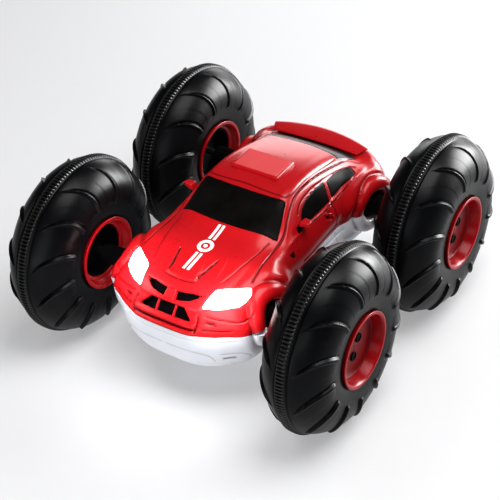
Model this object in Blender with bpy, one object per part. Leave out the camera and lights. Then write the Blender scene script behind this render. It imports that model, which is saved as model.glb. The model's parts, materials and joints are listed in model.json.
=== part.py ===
"""Two-sided radio-controlled stunt car: red car body above, white one below, and four balloon wheels.

Metres, +Z up. The origin is on the floor under the middle of the car. The nose points along -Y, the car's
left side is +X, and the wheel axles run along X at the tyre radius, where the two shells also meet.
Each side has one motor that drives both of its wheels through a train of five gears.
"""

import bpy
import bmesh
from math import cos, sin, pi, radians
from mathutils import Matrix, Vector

MM = 0.001

# Driving dimensions
TYRE_RADIUS = 63 * MM
TYRE_HALF_WIDTH = 24.6 * MM
TYRE_WIDEST_RADIUS = 39 * MM
TYRE_WALL = 2.2 * MM
BEAD_RADIUS = 24.6 * MM
BEAD_X = 20.8 * MM
TRACK = 199 * MM
WHEELBASE = 135 * MM
FLANGE_RADIUS = 25.7 * MM
FLANGE_X = 23.8 * MM
FLANGE_THICKNESS = 1.2 * MM
RIM_SEGMENTS = 16
AXLE_RADIUS = 2.5 * MM
MODULE = 1.5 * MM
AXLE_TEETH, IDLER_TEETH, CENTRE_TEETH, PINION_TEETH = 20, 24, 22, 10
GEAR_X = (30 * MM, 34 * MM)
MOTOR_X = (1 * MM, 25 * MM)
PIN_RADIUS = 1.5 * MM
SHELL_WALL = 1.8 * MM
GAP = 0.3 * MM
SPLIT_GAP = 0.15 * MM

AXLE_Y = WHEELBASE / 2
AXLE_Z = TYRE_RADIUS
IDLER_Y = MODULE * (CENTRE_TEETH + IDLER_TEETH) / 2
PINION_ANGLE = pi / 3
PINION_REACH = MODULE * (CENTRE_TEETH + PINION_TEETH) / 2
PINION_Y = PINION_REACH * cos(PINION_ANGLE)
PINION_Z = AXLE_Z + PINION_REACH * sin(PINION_ANGLE)
UNIT = TYRE_RADIUS  # the body's lines below are drawn in tyre radii

COLOURS = {
    "red_gloss": ((0.70, 0.02, 0.03), 0.3, 0.0),
    "white_gloss": ((0.85, 0.86, 0.90), 0.3, 0.0),
    "black_window": ((0.012, 0.012, 0.013), 0.35, 0.0),
    "grey_window": ((0.06, 0.06, 0.06), 0.35, 0.0),
    "clear_lens": ((0.95, 0.95, 0.92), 0.1, 0.0),
    "led": ((1.0, 0.98, 0.90), 0.2, 0.0),
    "tyre": ((0.02, 0.02, 0.023), 0.5, 0.0),
    "rim_red": ((0.60, 0.02, 0.03), 0.35, 0.0),
    "black_plastic": ((0.02, 0.02, 0.02), 0.45, 0.0),
    "gear_white": ((0.80, 0.79, 0.74), 0.45, 0.0),
    "steel": ((0.55, 0.55, 0.56), 0.3, 1.0),
    "board_green": ((0.02, 0.18, 0.06), 0.5, 0.0),
    "battery_blue": ((0.05, 0.14, 0.45), 0.4, 0.0),
}

# Body lines in tyre radii. Each row runs over the body from the centre line out to the split line at z = 1:
# centre, rail (roof or hood edge), shoulder, belt, door and sill, each as (x, y, z).
NOSE_RED = [
    [(0, -1.765, 1), (.30, -1.75, 1), (.50, -1.68, 1),
     (.64, -1.60, 1), (.76, -1.50, 1), (.825, -1.40, 1)],
    [(0, -1.70, 1.12), (.30, -1.69, 1.12), (.50, -1.62, 1.12),
     (.66, -1.53, 1.11), (.79, -1.40, 1.08), (.84, -1.28, 1)],
    [(0, -1.49, 1.33), (.28, -1.47, 1.325), (.48, -1.42, 1.30),
     (.66, -1.30, 1.27), (.79, -1.17, 1.16), (.84, -1.08, 1)],
]
NOSE_WHITE = [
    NOSE_RED[0],
    [(0, -1.755, 1.20), (.30, -1.74, 1.20), (.50, -1.675, 1.20),
     (.65, -1.585, 1.19), (.785, -1.45, 1.17), (.845, -1.30, 1)],
    [(0, -1.70, 1.42), (.28, -1.685, 1.42), (.48, -1.62, 1.41),
     (.64, -1.52, 1.40), (.775, -1.37, 1.39), (.84, -1.12, 1)],
    [(0, -1.52, 1.51), (.30, -1.50, 1.51), (.50, -1.42, 1.50),
     (.65, -1.28, 1.475), (.78, -1.08, 1.35), (.80, -.82, 1)],
]
HOOD = [(0, -1.05, 1.43), (.36, -1.02, 1.42), (.56, -.98, 1.395),
        (.70, -.93, 1.35), (.80, -.87, 1.20), (.80, -.82, 1)]
CABIN = [
    [(0, -.62, 1.505), (.40, -.58, 1.49), (.585, -.51, 1.44),
     (.70, -.47, 1.38), (.76, -.44, 1.20), (.755, -.42, 1)],
    [(0, -.19, 1.745), (.34, -.175, 1.725), (.51, -.15, 1.68),
     (.665, -.13, 1.44), (.755, -.12, 1.20), (.74, -.12, 1)],
    [(0, .30, 1.765), (.32, .30, 1.75), (.50, .30, 1.695),
     (.66, .30, 1.42), (.745, .30, 1.20), (.715, .30, 1)],
    [(0, .96, 1.615), (.30, .955, 1.605), (.46, .925, 1.58),
     (.63, .88, 1.45), (.745, .86, 1.22), (.72, .86, 1)],
    [(0, 1.22, 1.468), (.34, 1.21, 1.463), (.54, 1.19, 1.445),
     (.66, 1.16, 1.41), (.78, 1.12, 1.25), (.82, 1.07, 1)],
    [(0, 1.47, 1.44), (.36, 1.455, 1.435), (.58, 1.41, 1.42),
     (.69, 1.34, 1.38), (.79, 1.27, 1.24), (.83, 1.22, 1)],
    [(0, 1.545, 1.25), (.36, 1.53, 1.25), (.58, 1.48, 1.24),
     (.71, 1.41, 1.22), (.79, 1.36, 1.15), (.82, 1.32, 1)],
    [(0, 1.52, 1), (.36, 1.51, 1), (.56, 1.46, 1), (.70, 1.41, 1), (.77, 1.38, 1), (.81, 1.34, 1)],
]
RED_ROWS = [*NOSE_RED, HOOD, *CABIN]
WHITE_ROWS = [*NOSE_WHITE, *CABIN]
ROW_STEPS = (1, 2, 2, 2, 2, 2, 2, 2, 1, 1, 1)
COLUMN_STEPS = (1, 2, 2, 2, 1)
# Outlines cut through the body, in tyre radii: (x, y) from above, (y, z) from the side, (x, z) from the front
WINDSHIELD = [(.585, -.51), (.51, -.15), (.25, -.195), (-.25, -.195),
              (-.51, -.15), (-.585, -.51), (-.30, -.58), (.30, -.58)]
REAR_WINDOW = [(.50, 1.13), (.26, 1.165), (-.26, 1.165), (-.50, 1.13),
               (-.45, .93), (-.22, .965), (.22, .965), (.45, .93)]
SIDE_GLASS = [(-.10, 1.465), (.06, 1.605), (.35, 1.635), (.72, 1.585),
              (.98, 1.50), (.88, 1.44), (.42, 1.37)]
HEADLIGHT = [(.37, -1.56), (.46, -1.40), (.69, -1.16), (.725, -1.25), (.65, -1.40), (.50, -1.53)]
GRILLE = [(-.30, 1.30), (.30, 1.30), (.23, 1.13), (-.23, 1.13)]
ARCH_RADIUS = .28
HATCH = ((-.285, .02), (.285, .37))
HATCH_Z = (1.70, 1.81)
DOOR_Z = (1.70, 1.79)
DOOR = ((-.34, -.08), (.34, .60))
SPOILER_Z = (1.487, 1.515)
SWITCH_Y = .78
SWITCH_X = -2.5 * MM  # the knob rests at its off end and slides 5 mm towards +X


def clear_scene():
    for obj in list(bpy.data.objects):
        bpy.data.objects.remove(obj, do_unlink=True)


def material(name):
    found = bpy.data.materials.get(name)
    if found:
        return found
    colour, roughness, metallic = COLOURS[name]
    made = bpy.data.materials.new(name)
    made.use_nodes = True
    shader = made.node_tree.nodes["Principled BSDF"]
    shader.inputs["Base Color"].default_value = (*colour, 1)
    shader.inputs["Roughness"].default_value = roughness
    shader.inputs["Metallic"].default_value = metallic
    return made


def add_object(name, bm, colour=None, origin=(0, 0, 0), smooth=True):
    """A new object from a bmesh in world space, with its origin moved to the given point."""
    bmesh.ops.recalc_face_normals(bm, faces=bm.faces)
    bm.transform(Matrix.Translation(-Vector(origin)))
    mesh = bpy.data.meshes.new(name)
    bm.to_mesh(mesh)
    bm.free()
    if smooth:
        mesh.shade_smooth()
        mesh.set_sharp_from_angle(angle=radians(35))
    obj = bpy.data.objects.new(name, mesh)
    obj.location = origin
    bpy.context.scene.collection.objects.link(obj)
    if colour:
        mesh.materials.append(material(colour))
    return obj


def combine(obj, tool, operation="DIFFERENCE"):
    """Applies a boolean with the tool object, then deletes the tool."""
    modifier = obj.modifiers.new(operation.lower(), "BOOLEAN")
    modifier.operation = operation
    modifier.object = tool
    bpy.context.view_layer.update()
    evaluated = obj.evaluated_get(bpy.context.evaluated_depsgraph_get())
    mesh = bpy.data.meshes.new_from_object(evaluated)
    obj.modifiers.clear()
    obj.data = mesh
    bpy.data.objects.remove(tool, do_unlink=True)
    return obj


def lathe(name, profile, colour=None, centre=(0, 0, 0), segments=24):
    """Turns a closed (x, radius) profile about an X axis through centre. Its ends may lie on the axis."""
    bm = bmesh.new()
    rings = []
    for x, radius in profile:
        count = segments if radius > 0 else 1
        rings.append([
            bm.verts.new((centre[0] + x, centre[1] + radius * cos(2 * pi * k / segments),
                          centre[2] + radius * sin(2 * pi * k / segments)))
            for k in range(count)
        ])
    solid = any(len(ring) == 1 for ring in rings)
    pairs = zip(rings, rings[1:] if solid else rings[1:] + rings[:1])
    for a, b in pairs:
        for k in range(segments):
            corners = [a[k % len(a)], a[(k + 1) % len(a)], b[(k + 1) % len(b)], b[k % len(b)]]
            unique = list(dict.fromkeys(corners))
            bm.faces.new(unique)
    return add_object(name, bm, colour, centre)


def rod(name, x0, x1, radius, colour=None, centre=(0, 0, 0), segments=16):
    """A round bar along X between x0 and x1, measured from centre."""
    return lathe(name, [(x0, 0), (x0, radius), (x1, radius), (x1, 0)], colour, centre, segments)


def prism(name, outline, axis, low, high, colour=None, holes=()):
    """Extrudes an outline along X, Y or Z. The outline's two numbers are the other two axes, in order."""
    spots = {"X": lambda a, b, t: (t, a, b), "Y": lambda a, b, t: (a, t, b), "Z": lambda a, b, t: (a, b, t)}
    place = spots[axis]
    bm = bmesh.new()
    for t in (low, high):
        edges = []
        for loop in [outline, *holes]:
            ring = [bm.verts.new(place(a, b, t)) for a, b in loop]
            edges += [bm.edges.new((ring[k - 1], ring[k])) for k in range(len(ring))]
        bmesh.ops.triangle_fill(bm, use_beauty=True, edges=edges)
    bm.verts.ensure_lookup_table()
    half = len(bm.verts) // 2
    start = 0
    for loop in [outline, *holes]:
        for k in range(len(loop)):
            a, b = start + k, start + (k + 1) % len(loop)
            bm.faces.new([bm.verts[i] for i in (a, b, b + half, a + half)])
        start += len(loop)
    return add_object(name, bm, colour, smooth=False)


def block(name, low, high, colour=None):
    """A box between two corners."""
    outline = [(low[0], low[1]), (high[0], low[1]), (high[0], high[1]), (low[0], high[1])]
    return prism(name, outline, "Z", low[2], high[2], colour)


def circle(radius, y, z, segments=16):
    angles = [2 * pi * k / segments for k in range(segments)]
    return [(y + radius * cos(angle), z + radius * sin(angle)) for angle in angles]


def scaled(outline):
    return [(a * UNIT, b * UNIT) for a, b in outline]


def shrunk(outline, gap):
    """Moves every side of an outline inwards by gap."""
    area = sum(a[0] * b[1] - b[0] * a[1] for a, b in zip(outline, outline[1:] + outline[:1]))
    turn = 1 if area > 0 else -1
    moved = []
    for before, here, after in zip(outline[-1:] + outline[:-1], outline, outline[1:] + outline[:1]):
        before, here, after = Vector(before), Vector(here), Vector(after)
        d0, d1 = (here - before).normalized(), (after - here).normalized()
        n0, n1 = Vector((-d0.y, d0.x)) * turn, Vector((-d1.y, d1.x)) * turn
        moved.append(tuple(here + (n0 + n1) * (gap / (1 + n0.dot(n1)))))
    return moved


# Body shells


def spline(before, a, b, after, t):
    """A point between a and b on the smooth curve through four points."""
    return (a * 2 + (b - before) * t + (before * 2 - a * 5 + b * 4 - after) * t * t
            + (a * 3 - before - b * 3 + after) * t * t * t) / 2


def through(points, steps, first=None):
    """Points along the smooth curve through the given points, with steps[k] pieces in span k."""
    points = [Vector(p) for p in points]
    ends = [Vector(first) if first else points[0] * 2 - points[1], points[-1] * 2 - points[-2]]
    line = [ends[0], *points, ends[1]]
    made = [spline(*line[k:k + 4], s / count) for k, count in enumerate(steps) for s in range(count)]
    return [*made, points[-1]]


def flare(point):
    """Swells the body's side around each wheel arch."""
    reach = Vector((abs(point.y) * UNIT - AXLE_Y, (point.z - 1) * UNIT)).length / UNIT
    swell = max(0, min(1, (.56 - reach) / .16))
    side = max(0, min(1, (point.x - .55) / .15))
    return Vector((point.x + .05 * swell * swell * (3 - 2 * swell) * side, point.y, point.z))


def body_rows(rows):
    """The half body's surface as rows of points, from the centre line to the sill."""
    mirrored = [(-row[1][0], row[1][1], row[1][2]) for row in rows]
    across = [through(row, COLUMN_STEPS, ghost) for row, ghost in zip(rows, mirrored)]
    columns = [through(column, ROW_STEPS) for column in zip(*across)]
    return [[flare(p) * UNIT for p in row] for row in zip(*columns)]


def body_surface(name, rows, side, wall, inset=0.0):
    """A thin solid that follows the body. side is 1 for the upper car and -1 for its mirror image below."""
    skirt = 4 * MM
    bm = bmesh.new()
    grid = []
    for row in body_rows(rows):
        full = [Vector((-p.x, p.y, p.z)) for p in row[:0:-1]] + row
        full = [full[0] - Vector((0, 0, skirt)), *full, full[-1] - Vector((0, 0, skirt))]
        grid.append(full)
    down = Vector((0, 0, skirt))
    grid = [[p - down for p in grid[0]], *grid, [p - down for p in grid[-1]]]
    for row in grid:
        row[0].z = row[-1].z = AXLE_Z - skirt
    for j, row in enumerate(grid):
        grid[j] = [bm.verts.new((p.x, p.y, AXLE_Z + side * (p.z - AXLE_Z))) for p in row]
    for a, b in zip(grid, grid[1:]):
        for k in range(len(a) - 1):
            bm.faces.new((a[k], a[k + 1], b[k + 1], b[k]))
    bmesh.ops.remove_doubles(bm, verts=bm.verts, dist=0.01 * MM)
    bmesh.ops.recalc_face_normals(bm, faces=bm.faces)
    if sum(f.normal.z * f.calc_area() for f in bm.faces) * side < 0:
        bmesh.ops.reverse_faces(bm, faces=bm.faces)
    bm.normal_update()
    inner = {v: bm.verts.new(v.co - v.normal * (wall + inset)) for v in list(bm.verts)}
    outer_faces = list(bm.faces)
    rim = [e for e in bm.edges if e.is_boundary]
    rim_loops = [(e.verts[0], e.verts[1]) for e in rim]
    for f in outer_faces:
        bm.faces.new([inner[v] for v in reversed(f.verts)])
    for a, b in rim_loops:
        bm.faces.new((a, b, inner[b], inner[a]))
    if inset:
        for v in inner:
            v.co -= v.normal * inset
    return add_object(name, bm)


def inlay(name, shell, rows, side, outline, axis, low, high, colour):
    """Cuts an outline out of the shell and fills it with a pane of its own, a little smaller."""
    cut_out = prism("cutter", outline, axis, low, high)
    combine(shell, cut_out)
    pane = body_surface(name, rows, side, 1.2 * MM, 0.15 * MM)
    pane.data.materials.append(material(colour))
    combine(pane, prism("cutter", shrunk(outline, GAP), axis, low, high), "INTERSECT")
    return pane


def level(side, z):
    """A height in tyre radii over the split, on the upper or the lower car."""
    return AXLE_Z + side * (z - 1) * UNIT


def seen_from_side(outline, side):
    return [(y * UNIT, level(side, z)) for y, z in outline]


def build_shell(prefix, rows, side, colour):
    """One car shell with its windows, and its arches cut round the axles."""
    shell = body_surface(f"{prefix}_shell", rows, side, SHELL_WALL)
    shell.data.materials.append(material(colour))
    far = level(side, 2.2)
    for x_side in (-1, 1):
        for y in (-AXLE_Y, AXLE_Y):
            centre = (x_side * .62 * UNIT, y, AXLE_Z)
            x_ends = sorted((0, x_side * .45 * UNIT))
            combine(shell, rod("cutter", *x_ends, ARCH_RADIUS * UNIT, None, centre, 24))
    top = sorted((level(side, 1.38), far))
    inlay(f"{prefix}_windshield", shell, rows, side, scaled(WINDSHIELD), "Z", *top, "black_window")
    inlay(f"{prefix}_rear_window", shell, rows, side, scaled(REAR_WINDOW), "Z", *top, "grey_window")
    for label, x_side in (("left", 1), ("right", -1)):
        x_ends = sorted((x_side * .40 * UNIT, x_side * UNIT))
        outline = seen_from_side(SIDE_GLASS, side)
        inlay(f"{prefix}_side_glass_{label}", shell, rows, side, outline, "X", *x_ends, "black_window")
    return shell


def trim_at_split(shell, side):
    """Cuts the shell off flat just short of the other one."""
    low, high = sorted((AXLE_Z + side * SPLIT_GAP, AXLE_Z - side * 12 * MM))
    combine(shell, block("cutter", (-1.1 * UNIT, -1.9 * UNIT, low), (1.1 * UNIT, 1.7 * UNIT, high)))


def build_front(shell, rows):
    """Headlight lenses, lamps and grille of the upper car."""
    for label, x_side in (("left", 1), ("right", -1)):
        outline = [(x_side * x, y) for x, y in scaled(HEADLIGHT)]
        lens_ends = (AXLE_Z + 8 * MM, 2 * UNIT)
        inlay(f"headlight_lens_{label}", shell, rows, 1, outline, "Z", *lens_ends, "clear_lens")
        centre = (x_side * .53 * UNIT, -1.465 * UNIT, 1.10 * UNIT)
        profile = [(-3.5 * MM, 0), (-3.5 * MM, 2.9 * MM), (-2.5 * MM, 2.9 * MM), (-2.5 * MM, 2.4 * MM),
                   (2 * MM, 2.4 * MM), (3.6 * MM, 1.6 * MM), (4.2 * MM, 0)]
        lamp = lathe(f"headlight_led_{label}", profile, "led", segments=10)
        lamp.rotation_euler = (0, 0, radians(-90 + x_side * 20))
        lamp.location = centre
    inlay("grille_insert", shell, rows, 1, scaled(GRILLE), "Y", -2 * UNIT, -1.2 * UNIT, "black_plastic")


def crescent(half_span, front, rear, bow_front, bow_rear, steps=8):
    """A spoiler's outline from above, bowed backwards in the middle."""
    xs = [half_span * (2 * k / steps - 1) for k in range(steps + 1)]
    ahead = [(x, front + bow_front * (1 - (x / half_span) ** 2)) for x in xs]
    behind = [(x, rear + bow_rear * (1 - (x / half_span) ** 2)) for x in reversed(xs)]
    return scaled(ahead + behind)


def build_trim():
    """Spoilers, mirrors, roof hatch, battery door and switch."""
    for prefix, side, colour in (("upper", 1, "red_gloss"), ("lower", -1, "white_gloss")):
        z_ends = sorted(level(side, z) for z in SPOILER_Z)
        prism(f"{prefix}_spoiler", crescent(.61, 1.21, 1.365, .02, .10), "Z", *z_ends, colour)
    for label, x_side in (("left", 1), ("right", -1)):
        wedge = [(.665, 1.475), (.79, 1.50), (.80, 1.555), (.645, 1.53)]
        prism(f"mirror_{label}", [(x_side * x, z) for x, z in scaled(wedge)], "Y", -.20 * UNIT, -.12 * UNIT,
              "red_gloss")


def cut_rectangle(shell, corners, side, z_ends):
    (x0, y0), (x1, y1) = corners
    z0, z1 = sorted(level(side, z) for z in z_ends)
    low = (x0 * UNIT - GAP, y0 * UNIT - GAP, z0)
    high = (x1 * UNIT + GAP, y1 * UNIT + GAP, z1)
    combine(shell, block("cutter", low, high))


def build_hatches(upper, lower):
    """A slab with bevelled edges in the roof, and the battery door in the belly."""
    for name, shell, corners, heights, side, colour in (
            ("roof_hatch", upper, HATCH, HATCH_Z, 1, "red_gloss"),
            ("battery_door", lower, DOOR, DOOR_Z, -1, "white_gloss")):
        cut_rectangle(shell, corners, side, (1.6, 2))
        (x0, y0), (x1, y1) = corners
        z0, z1 = sorted(level(side, z) for z in heights)
        slab = block(name, (x0 * UNIT, y0 * UNIT, z0), (x1 * UNIT, y1 * UNIT, z1), colour)
        bevel = slab.modifiers.new("bevel", "BEVEL")
        bevel.width = 0.9 * MM
        bevel.segments = 2


def build_switch(lower):
    """The power switch slides across in a slot behind the battery door."""
    slot = ((-.12, SWITCH_Y - .045), (.12, SWITCH_Y + .045))
    cut_rectangle(lower, slot, -1, (1.5, 2))
    z_outer = level(-1, 1.71)
    half_head, half_foot, height = 2.2 * MM, 2.8 * MM, 9 * MM
    knob = [(SWITCH_X - half_head, z_outer), (SWITCH_X + half_head, z_outer),
            (SWITCH_X + half_foot, z_outer + height), (SWITCH_X - half_foot, z_outer + height)]
    y_ends = (SWITCH_Y * UNIT - 2.4 * MM, SWITCH_Y * UNIT + 2.4 * MM)
    prism("power_switch", knob, "Y", *y_ends, "black_plastic")


# Wheels


def tyre_profile():
    """The tyre's outside from the seam to one bead, as (x, radius)."""
    crown, steps = 1.1, 4
    outside = []
    for k in range(steps + 1):
        angle = pi / 2 * k / steps
        x = TYRE_HALF_WIDTH * sin(angle) ** crown
        radius = TYRE_WIDEST_RADIUS + (TYRE_RADIUS - TYRE_WIDEST_RADIUS) * max(0, cos(angle)) ** crown
        outside.append((x, radius))
    low = (TYRE_HALF_WIDTH - BEAD_X, TYRE_WIDEST_RADIUS - BEAD_RADIUS)
    for k in (1, 2):
        angle = pi / 2 * k / 2
        x = TYRE_HALF_WIDTH - low[0] * (1 - cos(angle))
        outside.append((x, TYRE_WIDEST_RADIUS - low[1] * sin(angle)))
    return outside


def build_tyre(name, centre):
    """A hollow balloon tyre, open towards the rim between its two beads."""
    outside = tyre_profile()
    inside = [(0, TYRE_RADIUS - TYRE_WALL)]
    for x, radius in outside[2:3]:
        pull = TYRE_WALL / Vector((x, radius - TYRE_WIDEST_RADIUS)).length
        inside.append((x * (1 - pull), TYRE_WIDEST_RADIUS + (radius - TYRE_WIDEST_RADIUS) * (1 - pull)))
    inside.append((BEAD_X - 2 * TYRE_WALL, BEAD_RADIUS))
    half = [*outside, *reversed(inside[1:])]
    other = [(-x, r) for x, r in reversed(outside[1:])]
    other_inside = [(-x, r) for x, r in inside[1:]]
    profile = [*half, inside[0], *other_inside, *other]
    return lathe(name, profile, "tyre", centre)


def build_rim_outer(name, centre, side):
    """The outer rim half: a flange, a dish with a flat floor, and a thick body on the axle."""
    floor, dish_radius = 16.6 * MM, 18.6 * MM
    behind = FLANGE_X - FLANGE_THICKNESS
    bore = AXLE_RADIUS + 0.15 * MM
    profile = [(FLANGE_X, FLANGE_RADIUS), (FLANGE_X, FLANGE_RADIUS - 3.1 * MM),
               (floor, dish_radius), (floor, bore), (GAP, bore), (GAP, BEAD_RADIUS - GAP),
               (behind, BEAD_RADIUS - GAP), (behind, FLANGE_RADIUS)]
    return lathe(name, [(side * x, r) for x, r in profile], "rim_red", centre, RIM_SEGMENTS)


def build_rim_inner(name, centre, side):
    """The inner rim half: a flange, a stepped barrel and a deep recess round the axle housing."""
    floor, step_radius = 9 * MM, 18 * MM
    behind = FLANGE_X - FLANGE_THICKNESS
    bore = AXLE_RADIUS + 0.15 * MM
    profile = [(-FLANGE_X, FLANGE_RADIUS), (-FLANGE_X, FLANGE_RADIUS - 2.4 * MM), (-19 * MM, 21 * MM),
               (-18 * MM, step_radius), (-floor, step_radius - 0.6 * MM), (-floor, bore), (-GAP, bore),
               (-GAP, BEAD_RADIUS - GAP), (-behind, BEAD_RADIUS - GAP), (-behind, FLANGE_RADIUS)]
    return lathe(name, [(side * x, r) for x, r in profile], "rim_red", centre, RIM_SEGMENTS)


def build_wheels():
    for end, y in (("front", -AXLE_Y), ("rear", AXLE_Y)):
        for label, side in (("left", 1), ("right", -1)):
            centre = (side * TRACK / 2, y, AXLE_Z)
            tag = f"{end}_{label}"
            build_tyre(f"tyre_{tag}", centre)
            build_rim_outer(f"rim_outer_{tag}", centre, side)
            build_rim_inner(f"rim_inner_{tag}", centre, side)
            x_ends = sorted(side * x for x in (GEAR_X[0] - 1.2 * MM, TRACK / 2 + 15.4 * MM))
            rod(f"axle_{tag}", *x_ends, AXLE_RADIUS, "steel", (0, y, AXLE_Z))


# Drive


def gear_outline(teeth, phase, y, z):
    """Tooth tips and roots round the pitch circle, thinned a little for backlash."""
    pitch = MODULE * teeth / 2
    tip, root = pitch + 0.85 * MODULE, pitch - 1.15 * MODULE
    share = pi / teeth
    half_tip, half_root = share * 0.17, share * 0.66
    points = []
    for k in range(teeth):
        middle = phase + 2 * share * k
        tip_offset = half_tip * pitch / tip
        for radius, offset in ((root, -half_root), (tip, -tip_offset), (tip, tip_offset), (root, half_root)):
            points.append((y + radius * cos(middle + offset), z + radius * sin(middle + offset)))
    return points


def build_gear(name, teeth, phase, y, z, side, bore, colour="gear_white"):
    x_ends = sorted(side * x for x in GEAR_X)
    outline = gear_outline(teeth, phase, 0, 0)
    gear = prism(name, outline, "X", *x_ends, colour, [circle(bore, 0, 0, 10)] if bore else [])
    gear.location = (0, y, z)
    return gear


def mesh_phase(teeth, other_teeth, other_phase, direction):
    """The phase that puts a gap of this gear on a tooth of the other one, which lies against direction."""
    steps = (direction - other_phase) * other_teeth / (2 * pi)
    lead = steps - round(steps)
    return direction + pi + (pi + 2 * pi * lead) / teeth


def build_side_drive(label, side):
    """Gears, motor and gearbox of one side, from the centre gear outwards."""
    bore = PIN_RADIUS + 0.07 * MM
    centre_phase = pi / 2
    build_gear(f"centre_gear_{label}", CENTRE_TEETH, centre_phase, 0, AXLE_Z, side, bore)
    for end, way, direction in (("front", -1, pi), ("rear", 1, 0)):
        idler_phase = mesh_phase(IDLER_TEETH, CENTRE_TEETH, centre_phase, direction)
        build_gear(f"idler_gear_{end}_{label}", IDLER_TEETH, idler_phase, way * IDLER_Y, AXLE_Z, side, bore)
        axle_phase = mesh_phase(AXLE_TEETH, IDLER_TEETH, idler_phase, direction)
        build_gear(f"axle_gear_{end}_{label}", AXLE_TEETH, axle_phase, way * AXLE_Y, AXLE_Z, side,
                   AXLE_RADIUS + 0.15 * MM)
    pinion_phase = mesh_phase(PINION_TEETH, CENTRE_TEETH, centre_phase, PINION_ANGLE)
    pinion = build_gear(f"motor_pinion_{label}", PINION_TEETH, pinion_phase, PINION_Y, PINION_Z, side, 0,
                        "steel")
    shaft_ends = sorted((side * (MOTOR_X[1] + GAP), side * (GEAR_X[0] + 1 * MM)))
    combine(pinion, rod("shaft", *shaft_ends, 1.0 * MM, None, (0, PINION_Y, PINION_Z), 8), "UNION")
    build_motor(label, side)
    build_gearbox(label, side)


def build_motor(label, side):
    """A small flat-sided can motor, shaft end towards the pinion."""
    flat, round_part = 7.5 * MM, 10 * MM
    outline = [(PINION_Y + y, PINION_Z + max(-flat, min(flat, z))) for y, z in circle(round_part, 0, 0, 24)]
    prism(f"motor_{label}", outline, "X", *sorted(side * x for x in MOTOR_X), "steel")


def gearbox_outline(margin):
    """The gearbox from the side: round ends about the axle gears, a little higher over the idlers."""
    radius, height, turns = 17 * MM + margin, 19.8 * MM + margin, 7
    angles = [pi * k / turns for k in range(turns + 1)]
    front = [(-AXLE_Y - radius * sin(angle), AXLE_Z + radius * cos(angle)) for angle in angles]
    front = [(-IDLER_Y, AXLE_Z + height), *front, (-IDLER_Y, AXLE_Z - height)]
    rear = [(-y, 2 * AXLE_Z - z) for y, z in front]
    return front + rear


def gearbox_solid(name, margin, x0, x1, side, colour=None):
    """The gearbox outline with its hump round the pinion, extruded between two planes."""
    x_ends = sorted((side * x0, side * x1))
    solid = prism(name, gearbox_outline(margin), "X", *x_ends, colour)
    hump = prism("hump", circle(9.3 * MM + margin, PINION_Y, PINION_Z, 14), "X", *x_ends)
    return combine(solid, hump, "UNION")


def build_gearbox(label, side):
    """The case holds the axle housings; the cover carries the gear pins and the motor."""
    wall, floor = 1.3 * MM, 1.5 * MM
    cover_x = (26.4 * MM, 27.9 * MM)
    case_x = (cover_x[1] + GAP, GEAR_X[1] + 1.2 * MM + floor)
    case = gearbox_solid(f"gearbox_case_{label}", wall, *case_x, side, "black_plastic")
    combine(case, gearbox_solid("room", 0, case_x[0] - 1 * MM, case_x[1] - floor, side))
    for y in (-AXLE_Y, AXLE_Y):
        housing = [(case_x[1] - floor / 2, 0), (case_x[1] - floor / 2, 17.2 * MM), (44.5 * MM, 17.2 * MM),
                   (44.5 * MM, 14 * MM), (41 * MM, 13 * MM), (41 * MM, 8.5 * MM), (60 * MM, 7 * MM),
                   (79 * MM, 6 * MM), (79 * MM, 0)]
        housing = [(side * x, r) for x, r in housing]
        combine(case, lathe("housing", housing, None, (0, y, AXLE_Z), 16), "UNION")
        bore = sorted((side * 30 * MM, side * 85 * MM))
        combine(case, rod("bore", *bore, AXLE_RADIUS + 0.1 * MM, None, (0, y, AXLE_Z)))
    cover = gearbox_solid(f"gearbox_cover_{label}", wall, *cover_x, side, "black_plastic")
    pin_ends = sorted((side * (cover_x[1] - 0.5 * MM), side * (GEAR_X[1] + 0.8 * MM)))
    for y in (-IDLER_Y, 0, IDLER_Y):
        combine(cover, rod("pin", *pin_ends, PIN_RADIUS, None, (0, y, AXLE_Z), 12), "UNION")
    through_cover = sorted((side * 20 * MM, side * 30 * MM))
    combine(cover, rod("motor_hole", *through_cover, 1.6 * MM, None, (0, PINION_Y, PINION_Z), 12))


def build_inner_parts():
    """Chassis plate, battery pack and circuit board between the two gearboxes."""
    holes = [circle(2 * MM, x, y, 8) for x in (-20 * MM, 20 * MM) for y in (-60 * MM, 60 * MM)]
    outline = [(-26 * MM, -72 * MM), (26 * MM, -72 * MM), (26 * MM, 72 * MM), (-26 * MM, 72 * MM)]
    prism("chassis_plate", outline, "Z", 46 * MM, 48 * MM, "black_plastic", holes)
    pack = block("battery_pack", (-25 * MM, -12 * MM, 22 * MM), (25 * MM, 38 * MM, 38 * MM), "battery_blue")
    bevel = pack.modifiers.new("bevel", "BEVEL")
    bevel.width = 5 * MM
    bevel.segments = 2
    bevel.limit_method = "ANGLE"
    board = [(-24 * MM, -58 * MM), (24 * MM, -58 * MM), (24 * MM, -16 * MM), (-24 * MM, -16 * MM)]
    board_holes = [circle(1.6 * MM, x, y, 8) for x in (-21 * MM, 21 * MM) for y in (-55 * MM, -19 * MM)]
    prism("circuit_board", board, "Z", 60 * MM, 61.6 * MM, "board_green", board_holes)


def main():
    clear_scene()
    upper = build_shell("upper", RED_ROWS, 1, "red_gloss")
    lower = build_shell("lower", WHITE_ROWS, -1, "white_gloss")
    build_front(upper, RED_ROWS)
    build_hatches(upper, lower)
    build_switch(lower)
    trim_at_split(upper, 1)
    trim_at_split(lower, -1)
    build_trim()
    build_wheels()
    for label, side in (("left", 1), ("right", -1)):
        build_side_drive(label, side)
    build_inner_parts()


main()
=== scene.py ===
"""Looks of the two-sided stunt car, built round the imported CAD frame.

Row frame in metres: +Z up, nose along -Y, the car's left side is +X. The body is drawn in tyre radii (R) with
the split between the red and the white car at z = 1. Each car is drawn as the upper one, and the white one is
then mirrored in that plane.
"""

import json
from itertools import product
from math import cos, pi, radians, sin

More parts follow.
